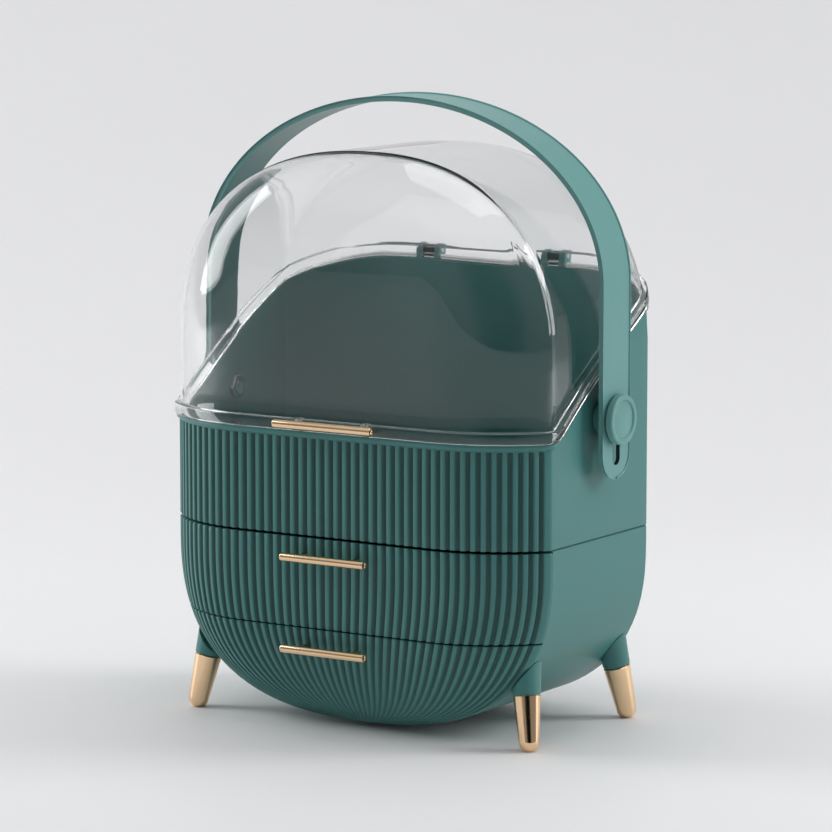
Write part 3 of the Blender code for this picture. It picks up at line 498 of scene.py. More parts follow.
def face_row(level, inset, places, side, edge, ribbed=0.0, face_inset=None):
    """Points across the bulged face at the front (side -1) or back (side 1), left to right, each
    with its place among the ribs and the way into a groove there."""
    body, ribs = sizes("body"), sizes("ribs")
    face_inset = inset if face_inset is None else face_inset
    half, flat_half, count = body.half_width - face_inset, body.flat_half, ribs.count
    radius, turn, corner_y = bulge_arc(face_inset)
    full = body.face_reach - face_inset - corner_y
    reach = flat_half + radius * turn
    edge = max(edge - inset, 0.0)
    points = []
    for place in places:
        run = abs(place) * reach
        angle = max(0.0, run - flat_half) / radius
        x_full = min(run, flat_half) + radius * math.sin(angle)
        out = full - radius * (1 - math.cos(angle))
        y = corner_y + out
        for _ in range(2):  # twice, because a sloping row's height changes with its depth
            z = level(side * y)
            bulged = bulge_share(z, face_inset)
            x = x_full / half * half_width_at(z, inset)
            y = corner_y + out * bulged - round_over(edge_distance(x, z, inset), edge)
        among = (place + 1) / 2 * count
        inside = ribbed if 1 / 2 < among < count - 1 / 2 else 0.0
        way = Vector((-math.copysign(math.sin(angle), place) * x / half,
                      -side * math.cos(angle) * max(bulged, ribs.least), 0.0)) * inside
        points.append((Vector((math.copysign(x, place), side * y, z)), among, way))
    return points


def side_row(level, inset, start_y, end_y, steps):
    """Points along the right-hand side between two depths."""
    points = []
    for y in spread(start_y, end_y, steps):
        z = level(y)
        points.append((Vector((half_width_at(z, inset), y, z)), 0.0, None))
    return points


def mirrored(points):
    """The same points on the left, in the opposite order."""
    return [(Vector((-spot.x, spot.y, spot.z)), among, way)
            for spot, among, way in reversed(points)]


def body_ring(level, inset, places, edge, ribbed=0.0, sides=24):
    """A loop all round the body, seen from above: front, right side, back, left side."""
    front = face_row(level, inset, places, -1, edge, ribbed)
    back = face_row(level, inset, places, 1, edge, ribbed)
    side_y = rim_turn_y() - sizes("body").dome_edge
    side = side_row(level, inset, -side_y, side_y, sides)
    return front + side + back[::-1] + mirrored(side)


def face_path(z, inset, places, side, end_y, edge, ribbed=0.0, steps=8):
    """An open path over one bulged face, from its left end to its right end at a depth."""
    face = face_row(flat(z), inset, places, side, edge, ribbed)
    start_y = side * (sizes("body").side_reach - max(edge, sizes("drawers").lip))
    right = side_row(flat(z), inset, start_y, end_y, steps)
    if side * (start_y - end_y) <= 0:
        right = right[-1:]
    return mirrored(right) + face + right


def tray_ring(z, extra, places, corner_steps=6):
    """A loop round a tray: its bulged front, straight sides and square back with round corners."""
    drawers, body = sizes("drawers"), sizes("body")
    inset = body.wall + drawers.side_gap + extra
    face_inset = body.wall + sizes("rim").gap + extra
    front = face_row(flat(z), inset, places, -1, 0.0, 0.0, face_inset)
    x, y = half_width_at(z, inset), drawers.tray_back_y - extra
    radius = min(drawers.tray_corner - extra, x)
    corner = []
    for across, along in arc((x - radius, y - radius), radius, 0, 90, corner_steps):
        corner.append((Vector((across, along, z)), 0.0, None))
    return front + corner + mirrored(corner)


class Mould:
    """A mesh in the making, whose points carry their place among the ribs."""

    def __init__(self):
        self.mesh = bmesh.new()
        self.among = self.mesh.verts.layers.float.new("among_ribs")
        self.way = self.mesh.verts.layers.float_vector.new("groove_way")

    def row(self, points):
        """New vertices, from points that may carry their place among the ribs and groove's way."""
        made = []
        for point in points:
            spot, among, way = point if isinstance(point, tuple) else (point, 0.0, None)
            vertex = self.mesh.verts.new(spot)
            vertex[self.among] = among
            vertex[self.way] = way or Vector()
            made.append(vertex)
        return made

    def strip(self, first, second, closed=True):
        """A band of faces between two rows of equal count."""
        for place in range(len(first) if closed else len(first) - 1):
            following = (place + 1) % len(first)
            self.mesh.faces.new((first[place], first[following], second[following], second[place]))

    def strips(self, rows, closed=True):
        """Bands of faces between rows that follow each other."""
        for first, second in zip(rows, rows[1:]):
            self.strip(first, second, closed)

    def rungs(self, row, faces, sides):
        """Closes a loop round the body with faces from its front to its back."""
        back = [row[2 * faces + sides - 1 - place] for place in range(faces)]
        for place in range(1, faces - 2):
            self.mesh.faces.new((row[place], row[place + 1], back[place + 1], back[place]))
        self.mesh.faces.new([row[0], row[1], back[1], back[0]] + row[2 * faces + sides:])
        self.mesh.faces.new([row[faces - 2]] + row[faces - 1:faces + sides] + [back[-1], back[-2]])

    def capped(self, rows, faces):
        """Bands between loops round the body, with the first and the last loop closed."""
        self.strips(rows)
        sides = (len(rows[0]) - 2 * faces) // 2
        self.rungs(rows[0], faces, sides)
        self.rungs(rows[-1], faces, sides)

    def turned(self, profile, matrix, segments):
        """A turned body: a profile of (height, radius) about the matrix's Z axis."""
        rows = []
        for height, radius in profile:
            circle = arc((0.0, 0.0), radius, 0, 360, segments)[:-1]
            rows.append(self.row([matrix @ Vector((x, y, height)) for x, y in circle]))
        self.strips(rows)
        self.mesh.faces.new(rows[0])
        self.mesh.faces.new(rows[-1])

    def block(self, corner, opposite, soft):
        """A box with chamfered edges between two corners."""
        middle = (Vector(corner) + Vector(opposite)) / 2
        size = Vector(opposite) - Vector(corner)
        made = bmesh.ops.create_cube(self.mesh, size=1.0)["verts"]
        for vertex in made:
            vertex.co = middle + Vector(part * whole for part, whole in zip(vertex.co, size))
        edges = {edge for vertex in made for edge in vertex.link_edges}
        bmesh.ops.bevel(self.mesh, geom=list(edges), offset=soft, segments=2, affect="EDGES",
                        profile=0.5)

    def finish(self, name, sharp=SHARP_ANGLE):
        """The finished mesh, faces outwards, shaded smooth up to an angle in degrees."""
        bmesh.ops.remove_doubles(self.mesh, verts=self.mesh.verts, dist=MERGE_DISTANCE)
        bmesh.ops.recalc_face_normals(self.mesh, faces=self.mesh.faces)
        data = bpy.data.meshes.new(name)
        self.mesh.to_mesh(data)
        self.mesh.free()
        data.shade_smooth()
        data.set_sharp_from_angle(angle=math.radians(sharp))
        return data


def axis_matrix(origin, direction):
    """A frame at a place, with its Z axis along a direction."""
    turn = Vector(direction).to_track_quat("Z", "Y").to_matrix().to_4x4()
    return Matrix.Translation(origin) @ turn


def round_corner(height, radius, soft, steps=6):
    """Profile points round a turned body's outer corner, from its side to its end face."""
    return [(height - soft + soft * across, radius - soft + soft * along)
            for along, across in arc((0.0, 0.0), 1.0, 0, 90, steps)]


def piece(name, data, material, body, nodes):
    """A finished piece in the scene: it rides on a body and stands for its CAD nodes."""
    made = bpy.data.objects.new(name, data)
    bpy.context.scene.collection.objects.link(made)
    if material.name not in data.materials:
        data.materials.append(material)
    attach(made, body)
    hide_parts(*nodes)


# Node trees


def add_node(tree, kind, **settings):
    """A node with its settings and, under its input's name or place, each plain value or link."""
    made = tree.nodes.new(kind)
    inputs = settings.pop("inputs", {})
    for name, value in settings.items():
        setattr(made, name, value)
    for name, value in inputs.items():
        socket = made.inputs[name]
        if isinstance(value, bpy.types.NodeSocket):
            tree.links.new(value, socket)
        else:
            socket.default_value = value
    return made


def maths(tree, operation, *values):
    """The output of a Math node, from values or links."""
    made = add_node(tree, "ShaderNodeMath", operation=operation, inputs=dict(enumerate(values)))
    return made.outputs[0]


def faded(tree, value, start, end):
    """Nought up to the start, one from the end on, and a smooth rise between."""
    made = add_node(tree, "ShaderNodeMapRange", interpolation_type="SMOOTHSTEP",
                    inputs={"Value": value, "From Min": start, "From Max": end})
    return made.outputs["Result"]


def mixed(tree, part, first, second):
    """A colour part of the way from one to another, each a value or a link."""
    made = add_node(tree, "ShaderNodeMix", data_type="RGBA", inputs={0: part, 6: first, 7: second})
    return made.outputs[2]


def tree_of(name, kind, inputs, outputs):
    """An empty node group with named inputs and outputs, and its two end nodes."""
    tree = bpy.data.node_groups.new(name, kind)
    for label, socket, default in inputs:
        made = tree.interface.new_socket(label, in_out="INPUT", socket_type=socket)
        if default is not None:
            made.default_value = default
    for label, socket in outputs:
        tree.interface.new_socket(label, in_out="OUTPUT", socket_type=socket)
    return tree, tree.nodes.new("NodeGroupInput"), tree.nodes.new("NodeGroupOutput")


def apply_tree(data, tree, values, name):
    """A mesh run through a geometry tree with the given inputs, as a plain mesh."""
    source = bpy.data.objects.new(name + " source", data)
    bpy.context.scene.collection.objects.link(source)
    modifier = source.modifiers.new(tree.name, "NODES")
    modifier.node_group = tree
    for item in tree.interface.items_tree:
        if item.in_out == "INPUT" and item.name in values:
            modifier[item.identifier] = values[item.name]
    graph = bpy.context.evaluated_depsgraph_get()
    made = bpy.data.meshes.new_from_object(source.evaluated_get(graph),
                                           preserve_all_data_layers=True, depsgraph=graph)
    made.name = name
    bpy.data.objects.remove(source)
    bpy.data.meshes.remove(data)
    made.shade_smooth()
    made.set_sharp_from_angle(angle=math.radians(SHARP_ANGLE))
    return made


def stored_on_points(tree, name, data_type="FLOAT_VECTOR"):
    """A value stored on the points, by its name."""
    made = add_node(tree, "GeometryNodeInputNamedAttribute", data_type=data_type,
                    inputs={"Name": name})
    return made.outputs[0]


def rib_tree():
    """Sinks the grooves between ribs into a skin, along the way stored on its points, and stores how
    deep each point lies in a groove for the plastic's painted shade.
    """
    name = "Ribs along a face"
    if name in bpy.data.node_groups:
        return bpy.data.node_groups[name]
    tree, start, end = tree_of(
        name, "GeometryNodeTree",
        [("Geometry", "NodeSocketGeometry", None), ("Groove Depth", "NodeSocketFloat", 0.001),
         ("Crest Share", "NodeSocketFloat", 0.5), ("Flank Share", "NodeSocketFloat", 0.4),
         ("Rounding Share", "NodeSocketFloat", 0.3), ("Material", "NodeSocketMaterial", None)],
        [("Geometry", "NodeSocketGeometry")],
    )
    among, way = stored_on_points(tree, "among_ribs", "FLOAT"), stored_on_points(tree, "groove_way")
    across = maths(tree, "FRACT", among)
    from_crest = maths(tree, "ABSOLUTE", maths(tree, "MULTIPLY_ADD", across, 2.0, -1.0))
    half_flank = maths(tree, "MULTIPLY", start.outputs["Flank Share"], 0.5)
    flank_start = maths(tree, "SUBTRACT", start.outputs["Crest Share"], half_flank)
    flank_end = maths(tree, "ADD", start.outputs["Crest Share"], half_flank)
    flank = faded(tree, from_crest, flank_start, flank_end)
    rounding = maths(tree, "MULTIPLY", maths(tree, "POWER", from_crest, 2.0),
                     start.outputs["Rounding Share"])
    steep = maths(tree, "SUBTRACT", 1.0, start.outputs["Rounding Share"])
    groove = maths(tree, "MULTIPLY_ADD", flank, steep, rounding)
    span = add_node(tree, "ShaderNodeVectorMath", operation="LENGTH", inputs={0: way})
    # Groove depth at each point, stored for the painted shade in the grooves.
    shade = maths(tree, "MULTIPLY", groove, maths(tree, "MINIMUM", span.outputs["Value"], 1.0))
    sink = maths(tree, "MULTIPLY", groove, start.outputs["Groove Depth"])
    offset = add_node(tree, "ShaderNodeVectorMath", operation="SCALE",
                      inputs={0: way, "Scale": sink})
    stored = add_node(tree, "GeometryNodeStoreNamedAttribute", data_type="FLOAT", domain="POINT",
                      inputs={"Geometry": start.outputs["Geometry"], "Name": "groove",
                              "Value": shade})
    moved = add_node(tree, "GeometryNodeSetPosition",
                     inputs={"Geometry": stored.outputs[0], "Offset": offset.outputs[0]})
    real = add_node(tree, "GeometryNodeRealizeInstances", inputs={"Geometry": moved.outputs[0]})
    painted = add_node(tree, "GeometryNodeSetMaterial",
                       inputs={"Geometry": real.outputs[0], "Material": start.outputs["Material"]})
    tree.links.new(painted.outputs[0], end.inputs[0])
    return tree


def ribbed(data, material, name):
    """A skin with its grooves sunk in."""
    ribs = sizes("ribs")
    values = {"Groove Depth": ribs.depth, "Crest Share": ribs.crest, "Flank Share": ribs.flank,
              "Rounding Share": ribs.rounding, "Material": material}
    return apply_tree(data, rib_tree(), values, name)


def screw_tree():
    """A cross-recessed screw on every point, its head facing the way stored there."""
    name = "Screws on points"
    if name in bpy.data.node_groups:
        return bpy.data.node_groups[name]
    tree, start, end = tree_of(
        name, "GeometryNodeTree",
        [("Geometry", "NodeSocketGeometry", None), ("Head Radius", "NodeSocketFloat", 0.003),
         ("Head Height", "NodeSocketFloat", 0.0018), ("Shank Radius", "NodeSocketFloat", 0.0014),
         ("Shank Length", "NodeSocketFloat", 0.006), ("Material", "NodeSocketMaterial", None)],
        [("Geometry", "NodeSocketGeometry")],
    )
    size = start.outputs
    head = add_node(tree, "GeometryNodeMeshCylinder", inputs={
        "Vertices": 28, "Radius": size["Head Radius"], "Depth": size["Head Height"]})
    shank = add_node(tree, "GeometryNodeMeshCylinder", inputs={
        "Vertices": 16, "Radius": size["Shank Radius"], "Depth": size["Shank Length"]})
    up = add_node(tree, "ShaderNodeCombineXYZ",
                  inputs={"Z": maths(tree, "MULTIPLY", size["Head Height"], 0.5)})
    down = add_node(tree, "ShaderNodeCombineXYZ",
                    inputs={"Z": maths(tree, "MULTIPLY", size["Shank Length"], -0.5)})
    head_up = add_node(tree, "GeometryNodeTransform",
                       inputs={"Geometry": head.outputs["Mesh"], "Translation": up.outputs[0]})
    shank_down = add_node(tree, "GeometryNodeTransform", inputs={
        "Geometry": shank.outputs["Mesh"], "Translation": down.outputs[0]})
    long_side = maths(tree, "MULTIPLY", size["Head Radius"], 1.2)
    short_side = maths(tree, "MULTIPLY", size["Head Radius"], 0.26)
    bars = []
    for sides in ((long_side, short_side), (short_side, long_side)):
        block = add_node(tree, "ShaderNodeCombineXYZ",
                         inputs={"X": sides[0], "Y": sides[1], "Z": size["Head Height"]})
        bar = add_node(tree, "GeometryNodeMeshCube", inputs={"Size": block.outputs[0]})
        raised = add_node(tree, "ShaderNodeCombineXYZ", inputs={"Z": size["Head Height"]})
        bars.append(add_node(tree, "GeometryNodeTransform", inputs={
            "Geometry": bar.outputs["Mesh"], "Translation": raised.outputs[0]}))
    cut = head_up.outputs[0]
    for bar in bars:
        made = add_node(tree, "GeometryNodeMeshBoolean", operation="DIFFERENCE",
                        inputs={"Mesh 1": cut})
        tree.links.new(bar.outputs[0], made.inputs["Mesh 2"])
        cut = made.outputs["Mesh"]
    joined = add_node(tree, "GeometryNodeJoinGeometry")
    for part in (cut, shank_down.outputs[0]):
        tree.links.new(part, joined.inputs[0])
    turn = add_node(tree, "FunctionNodeAlignRotationToVector", axis="Z",
                    inputs={"Vector": stored_on_points(tree, "groove_way")})
    placed = add_node(tree, "GeometryNodeInstanceOnPoints",
                      inputs={"Points": size["Geometry"], "Instance": joined.outputs[0],
                              "Rotation": turn.outputs[0]})
    real = add_node(tree, "GeometryNodeRealizeInstances", inputs={"Geometry": placed.outputs[0]})
    painted = add_node(tree, "GeometryNodeSetMaterial",
                       inputs={"Geometry": real.outputs[0], "Material": size["Material"]})
    tree.links.new(painted.outputs[0], end.inputs[0])
    return tree


# Materials


def grain_group():
    """Fine moulded grain with faint broad mottling, both from object coordinates."""
    name = "Moulded grain"
    if name in bpy.data.node_groups:
        return bpy.data.node_groups[name]
    tree, start, end = tree_of(
        name, "ShaderNodeTree",
        [("Grain Scale", "NodeSocketFloat", 900.0), ("Mottle Scale", "NodeSocketFloat", 22.0)],
        [("Grain", "NodeSocketFloat"), ("Mottle", "NodeSocketFloat")],
    )
    place = add_node(tree, "ShaderNodeTexCoord")
    for scale, detail, output in (("Grain Scale", 3.0, "Grain"), ("Mottle Scale", 4.0, "Mottle")):
        noise = add_node(tree, "ShaderNodeTexNoise", inputs={
            "Vector": place.outputs["Object"], "Scale": start.outputs[scale], "Detail": detail})
        tree.links.new(noise.outputs["Fac"], end.inputs[output])
    return tree


def brushed_group():
    """Fine lines drawn along one axis, with a slow drift in tone."""
    name = "Drawn lines"
    if name in bpy.data.node_groups:
        return bpy.data.node_groups[name]
    tree, start, end = tree_of(
        name, "ShaderNodeTree",
        [("Stretch", "NodeSocketVector", None), ("Line Scale", "NodeSocketFloat", 60.0)],
        [("Lines", "NodeSocketFloat"), ("Drift", "NodeSocketFloat")],
    )
    place = add_node(tree, "ShaderNodeTexCoord")
    stretched = add_node(tree, "ShaderNodeVectorMath", operation="MULTIPLY",
                         inputs={0: place.outputs["Object"], 1: start.outputs["Stretch"]})
    lines = add_node(tree, "ShaderNodeTexNoise", inputs={
        "Vector": stretched.outputs[0], "Scale": start.outputs["Line Scale"], "Detail": 5.0})
    drift = add_node(tree, "ShaderNodeTexNoise",
                     inputs={"Vector": place.outputs["Object"], "Scale": 40.0, "Detail": 2.0})
    tree.links.new(lines.outputs["Fac"], end.inputs["Lines"])
    tree.links.new(drift.outputs["Fac"], end.inputs["Drift"])
    return tree


def new_material(name, tint):
    """A material with its node tree and its Principled shader."""
    made = bpy.data.materials.new(name)
    made.use_nodes = True
    made.diffuse_color = (*tint, 1.0)
    return made, made.node_tree, made.node_tree.nodes["Principled BSDF"]


def ranged(tree, value, lowest, highest):
    """A noise spread between two values."""
    made = add_node(tree, "ShaderNodeMapRange", inputs={
        "Value": value, "From Min": NOISE_RANGE[0], "From Max": NOISE_RANGE[1],
        "To Min": lowest, "To Max": highest})
    return made.outputs["Result"]


def shaded(tint, part):
    """A tint made darker or paler, as a colour socket takes it."""
    return (*(min(part * one, 1.0) for one in tint), 1.0)


def mottled(tree, mask, tint, dark, pale):
    """A tint that drifts between a darker and a paler shade of itself."""
    return mixed(tree, mask, shaded(tint, dark), shaded(tint, pale))


def add_bump(tree, shader, height, strength, distance):
    """A bump on a shader's normal."""
    bump = add_node(tree, "ShaderNodeBump",
                    inputs={"Strength": strength, "Distance": distance, "Height": height})
    tree.links.new(bump.outputs[0], shader.inputs["Normal"])


def plastic(name, tint, roughness, painted_groove_shade=0.0):
    """Satin moulded plastic; shade can be painted into its grooves."""
    if name in bpy.data.materials:
        return bpy.data.materials[name]
    made, tree, shader = new_material(name, tint)
    shader.inputs["Specular IOR Level"].default_value = 0.32
    grain = add_node(tree, "ShaderNodeGroup", node_tree=grain_group())
    paint = mottled(tree, grain.outputs["Mottle"], tint, dark=0.94, pale=1.06)
    if painted_groove_shade:
        # Painted shade: each point's stored groove depth darkens the tint towards a dark copy of it.
        groove = add_node(tree, "ShaderNodeAttribute", attribute_name="groove")
        depth = maths(tree, "MULTIPLY", groove.outputs["Fac"], painted_groove_shade)
        paint = mixed(tree, depth, paint, shaded(tint, 0.22))
    tree.links.new(paint, shader.inputs["Base Color"])
    tree.links.new(ranged(tree, grain.outputs["Mottle"], roughness - 0.03, roughness + 0.04),
                   shader.inputs["Roughness"])
    add_bump(tree, shader, grain.outputs["Grain"], strength=0.10, distance=0.0002)
    return made


def green_plastic():
    """The outside plastic, with shade painted into its grooves."""
    return plastic("satin green plastic", tuple(sizes("colours").green), roughness=0.34,
                   painted_groove_shade=0.9)


def lit_handle_plastic():
    """A paler copy of the green plastic for the strap and its knobs: painted light, standing for the
    window's light and sheen on them.
    """
    return plastic("lighter green plastic", tuple(sizes("colours").lit_handle_green), roughness=0.32)


def slot_painted_shade():
    """Dark green painted on the walls of the strap's slots as shade."""
    tint = tuple(0.15 * part for part in sizes("colours").lit_handle_green)
    return plastic("shaded green plastic", tint, roughness=0.6)


def inner_plastic():
    """The plastic of the trays and the shelf."""
    return plastic("inner green plastic", tuple(sizes("colours").inner_green), roughness=0.5)


def clear_plastic():
    """Clear moulded plastic with faint smudges."""
    name = "clear plastic"
    if name in bpy.data.materials:
        return bpy.data.materials[name]
    tint = tuple(sizes("colours").clear)
    made, tree, shader = new_material(name, tint)
    grain = add_node(tree, "ShaderNodeGroup", node_tree=grain_group(),
                     inputs={"Grain Scale": 260.0})
    shader.inputs["Base Color"].default_value = (*tint, 1.0)
    shader.inputs["Transmission Weight"].default_value = 1.0
    shader.inputs["IOR"].default_value = 1.49
    smudges = ranged(tree, grain.outputs["Mottle"], lowest=0.0, highest=0.035)
    tree.links.new(smudges, shader.inputs["Roughness"])
    add_bump(tree, shader, grain.outputs["Mottle"], strength=0.02, distance=0.0002)
    return made


def metal(name, tint, roughness, stretch):
    """Plated metal with faint drawn lines."""
    if name in bpy.data.materials:
        return bpy.data.materials[name]
    made, tree, shader = new_material(name, tint)
    shader.inputs["Metallic"].default_value = 1.0
    lines = add_node(tree, "ShaderNodeGroup", node_tree=brushed_group(),
                     inputs={"Stretch": stretch})
    tone = mottled(tree, lines.outputs["Drift"], tint, dark=0.93, pale=1.05)
    tree.links.new(tone, shader.inputs["Base Color"])
    tree.links.new(ranged(tree, lines.outputs["Lines"], roughness - 0.04, roughness + 0.05),
                   shader.inputs["Roughness"])
    add_bump(tree, shader, lines.outputs["Lines"], strength=0.05, distance=0.0001)
    return made


def rose_gold():
    """Plating of the grip bars, its lines drawn along them."""
    return metal("rose gold plating", tuple(sizes("colours").gold), roughness=0.11,
                 stretch=(1.0, 20.0, 20.0))


def rose_gold_upright():
    """Plating of the leg tips, its lines drawn upright."""
    return metal("rose gold plating on legs", tuple(sizes("colours").gold), roughness=0.08,
                 stretch=(20.0, 20.0, 1.0))


def steel():
    """Zinc plating of the screws, nuts and pins."""
    return metal("zinc plated steel", tuple(sizes("colours").steel), roughness=0.32,
                 stretch=(9.0, 9.0, 9.0))


# Pieces


def finely(outline, step):
    """A closed outline with its long edges cut into short ones."""
    points = []
    for first, second in zip(outline, outline[1:] + outline[:1]):
        cuts = max(1, math.ceil(math.dist(first, second) / step))
        for cut in range(cuts):
            points.append(tuple(a + (b - a) * cut / cuts for a, b in zip(first, second)))
    return points


def knuckle_profile(base_low_z, base_high_z, foot_y):
    """A round eye on the hinge axis, joined to a foot on the rim's outer face."""
    rim = sizes("rim")
    eye = arc(hinge_axis(), rim.knuckle_radius, -110, 140, 28)
    return finely([(foot_y, base_low_z)] + eye + [(foot_y, base_high_z)], rim.knuckle_radius / 4)


def hinge_axis():
    """Depth and height of the hinge pins."""
    middle = (low("hinge_pin_left") + high("hinge_pin_left")) / 2
    return middle.y, middle.z


def add_eye(mould, profile, start, end):
    """Pushes a hinge eye's profile along X, with a hole for the pin."""
    rim = sizes("rim")
    axis = Vector(hinge_axis())
    bore = rim.pin_radius + rim.gap
    hole = [axis + (Vector(spot) - axis).normalized() * bore for spot in profile]
    rows = []
    for x in (start, end):
        for outline in (profile, hole):
            rows.append(mould.row([Vector((x, y, z)) for y, z in outline]))
    near_out, near_in, far_out, far_in = rows
    mould.strips([near_in, near_out, far_out, far_in, near_in])


def make_top_box():
    """The ribbed compartment with its floor, flanged rim and hinge lugs."""
    body, ribs, rim, drawers = sizes("body"), sizes("ribs"), sizes("rim"), sizes("drawers")
    places = ribbed_places(body.edge)
    soft, wall, outer, under = body.soft, body.wall, -rim.box_reach, -rim.height
    base, fade_start = drawers.box_bottom_z, under - ribs.end_height - soft

    # Each row has its level, its inset and the strength of its grooves. Up the ribbed outside:
    foot, crest = flat(base + soft), rim_level(fade_start)
    rows = [(flat(base), soft, 1.0), (flat(base + soft / 3), soft / 3, 1.0), (foot, 0.0, 1.0)]
    rows += [(blend_level(foot, crest, step / 8), 0.0, 1.0) for step in range(1, 9)]
    for step in range(1, 7):
        part = step / 6
        strength = 0.5 + 0.5 * math.cos(math.pi * part)
        rows.append((rim_level(fade_start + ribs.end_height * part), 0.0, strength))

    # Round the flange and over the rim:
    for offset, inset in (
        (under - soft, 0.0), (under, -soft), (under, outer + soft),
        (under + soft / 3, outer + soft / 3), (under + soft, outer), (-soft, outer),
        (-soft / 3, outer + soft / 3), (0.0, outer + soft), (0.0, wall - soft),
        (-soft / 3, wall - soft / 3), (-soft, wall),
    ):
        rows.append((rim_level(offset), inset, 0.0))

    # Down the inside and round to the floor:
    floor_z, bend = base + wall, body.floor_round
    inside, above_floor = rim_level(-soft), flat(floor_z + bend)
    rows += [(blend_level(inside, above_floor, step / 5), wall, 0.0) for step in range(1, 6)]
    rows += [(flat(floor_z + bend * drop), wall + bend * back, 0.0)
             for back, drop in quarter(3)[1:]]

    mould = Mould()
    made = [mould.row(body_ring(level, inset, places, body.edge, strength))
            for level, inset, strength in rows]
    mould.capped(made, len(places))
    rim_z = rim_level(under)(body.face_reach + rim.reach)
    foot_y = middle_reach(hinge_axis()[1], -rim.box_reach) - soft
    profile = knuckle_profile(rim_z - rim.lug_foot, rim_z + rim.height / 2, foot_y)
    near = rim.knuckle_half + rim.gap
    for centre in (-rim.hinge_x, rim.hinge_x):
        for side in (-1, 1):
            add_eye(mould, profile, centre + side * near, centre + side * (near + rim.lug))
    green = green_plastic()
    data = ribbed(mould.finish("ribbed_box"), green, "ribbed_box")
    piece("ribbed_box", data, green, "body", ["top_box"])


def half_shell(mould, outer, inner, closed_top, closed_low):
    """A shell open at one side: rows of its outside and inside, from top to bottom."""
    outer_rows = [mould.row(points) for points in outer]
    inner_rows = [mould.row(points) for points in inner]
    mould.strips(outer_rows, closed=False)
    mould.strips(inner_rows, closed=False)
    for place in (0, -1):
        mould.strips([[a[place] for a in outer_rows], [b[place] for b in inner_rows]], closed=False)
    for closed, place in ((closed_top, 0), (closed_low, -1)):
        out, back = outer_rows[place], inner_rows[place]
        if closed:
            mould.mesh.faces.new(out)
            mould.mesh.faces.new(back)
            mould.mesh.faces.new((out[0], out[-1], back[-1], back[0]))
        else:
            mould.strip(out, back, closed=False)


def add_ledges(mould):
    """Ledges on the housing's side walls, below and above the shelf's edges."""
    body, drawers, gap = sizes("body"), sizes("drawers"), sizes("rim").gap
    reach, height = drawers.ledge_reach, drawers.ledge_height
    shelf_low, shelf_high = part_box("drawer_shelf")
    for low_z in (shelf_low.z - gap - height, shelf_high.z + gap):
        inner_x = half_width_at(low_z, body.wall)
        for side in (-1, 1):
            ends = sorted((side * (inner_x - reach), side * (inner_x + body.wall / 2)))
            mould.block((ends[0], shelf_low.y, low_z), (ends[1], body.side_reach, low_z + height),
                        drawers.ledge_soft)


def add_rails(mould, front_y):
    """Rails on the round underside that the lower tray slides on."""
    body, drawers = sizes("body"), sizes("drawers")
    half = drawers.rail_half
    tray_skin = body.wall + drawers.side_gap - sizes("rim").gap
    skin_z = low_level(underside_turn(drawers.rail_x, 0.0), 0.0)
    top_z = low_level(underside_turn(drawers.rail_x - half, tray_skin), tray_skin)
    for middle in (-drawers.rail_x, drawers.rail_x):
        mould.block((middle - half, front_y, skin_z + body.wall / 2),
                    (middle + half, drawers.tray_back_y, top_z), drawers.rail_soft)


def make_housing():
    """The drawer housing, open in front and ribbed behind, with ledges and rails."""
    body, drawers, gap = sizes("body"), sizes("drawers"), sizes("rim").gap
    places = ribbed_places(body.edge)
    end_y = -(body.side_reach - drawers.lip - gap)
    top, soft = drawers.housing_top_z, body.soft
    outer = [face_path(top, soft, places, 1, end_y, body.edge, 1.0)]
    for z in low_levels(top - soft, 0.0, UNDERSIDE_STEPS):
        outer.append(face_path(z, 0.0, places, 1, end_y, body.edge, groove_strength(z)))
    levels = low_levels(top - drawers.ceiling, body.wall, UNDERSIDE_STEPS)
    inner = [face_path(z, body.wall, places, 1, end_y, body.edge) for z in levels[:1] + levels]
    mould = Mould()
    half_shell(mould, outer, inner, closed_top=True, closed_low=True)
    add_ledges(mould)
    add_rails(mould, end_y + gap)
    green = green_plastic()
    data = ribbed(mould.finish("drawer_housing"), green, "drawer_housing")
    piece("drawer_housing", data, green, "body", ["housing"])


def make_front(name, top_z, low_z, body_name, node):
    """A ribbed drawer front: a bulged shell, hollow behind. With no low_z it is round below."""
    body, drawers = sizes("body"), sizes("drawers")
    places, soft = ribbed_places(body.edge), body.soft
    end_y = -(body.side_reach - drawers.lip)

    def path(z, inset, strength=0.0):
        """One row of the front, from its left end to its right end."""
        return face_path(z, inset, places, -1, end_y, body.edge, strength)

    outer = [path(top_z, soft, 1.0), path(top_z - soft / 3, soft / 3, 1.0)]
    if low_z is None:
        levels = low_levels(top_z - soft, 0.0, UNDERSIDE_STEPS)
        outer += [path(z, 0.0, groove_strength(z)) for z in levels]
        inside = low_levels(top_z, body.wall, UNDERSIDE_STEPS)
    else:
        steps = 14
        outer += [path(z, 0.0, 1.0) for z in spread(top_z - soft, low_z + soft, steps)]
        outer += [path(low_z + soft / 3, soft / 3, 1.0), path(low_z, soft, 1.0)]
        inside = spread(top_z, low_z, steps)
        inside += inside[-1:] * 2
    # The inside repeats its ends, so that it has as many rows as the outside
    inner = [path(z, body.wall) for z in inside[:1] * 2 + inside]
    mould = Mould()
    half_shell(mould, outer, inner, closed_top=False, closed_low=low_z is None)
    green = green_plastic()
    data = ribbed(mould.finish(name), green, name)
    piece(name, data, green, body_name, [node])


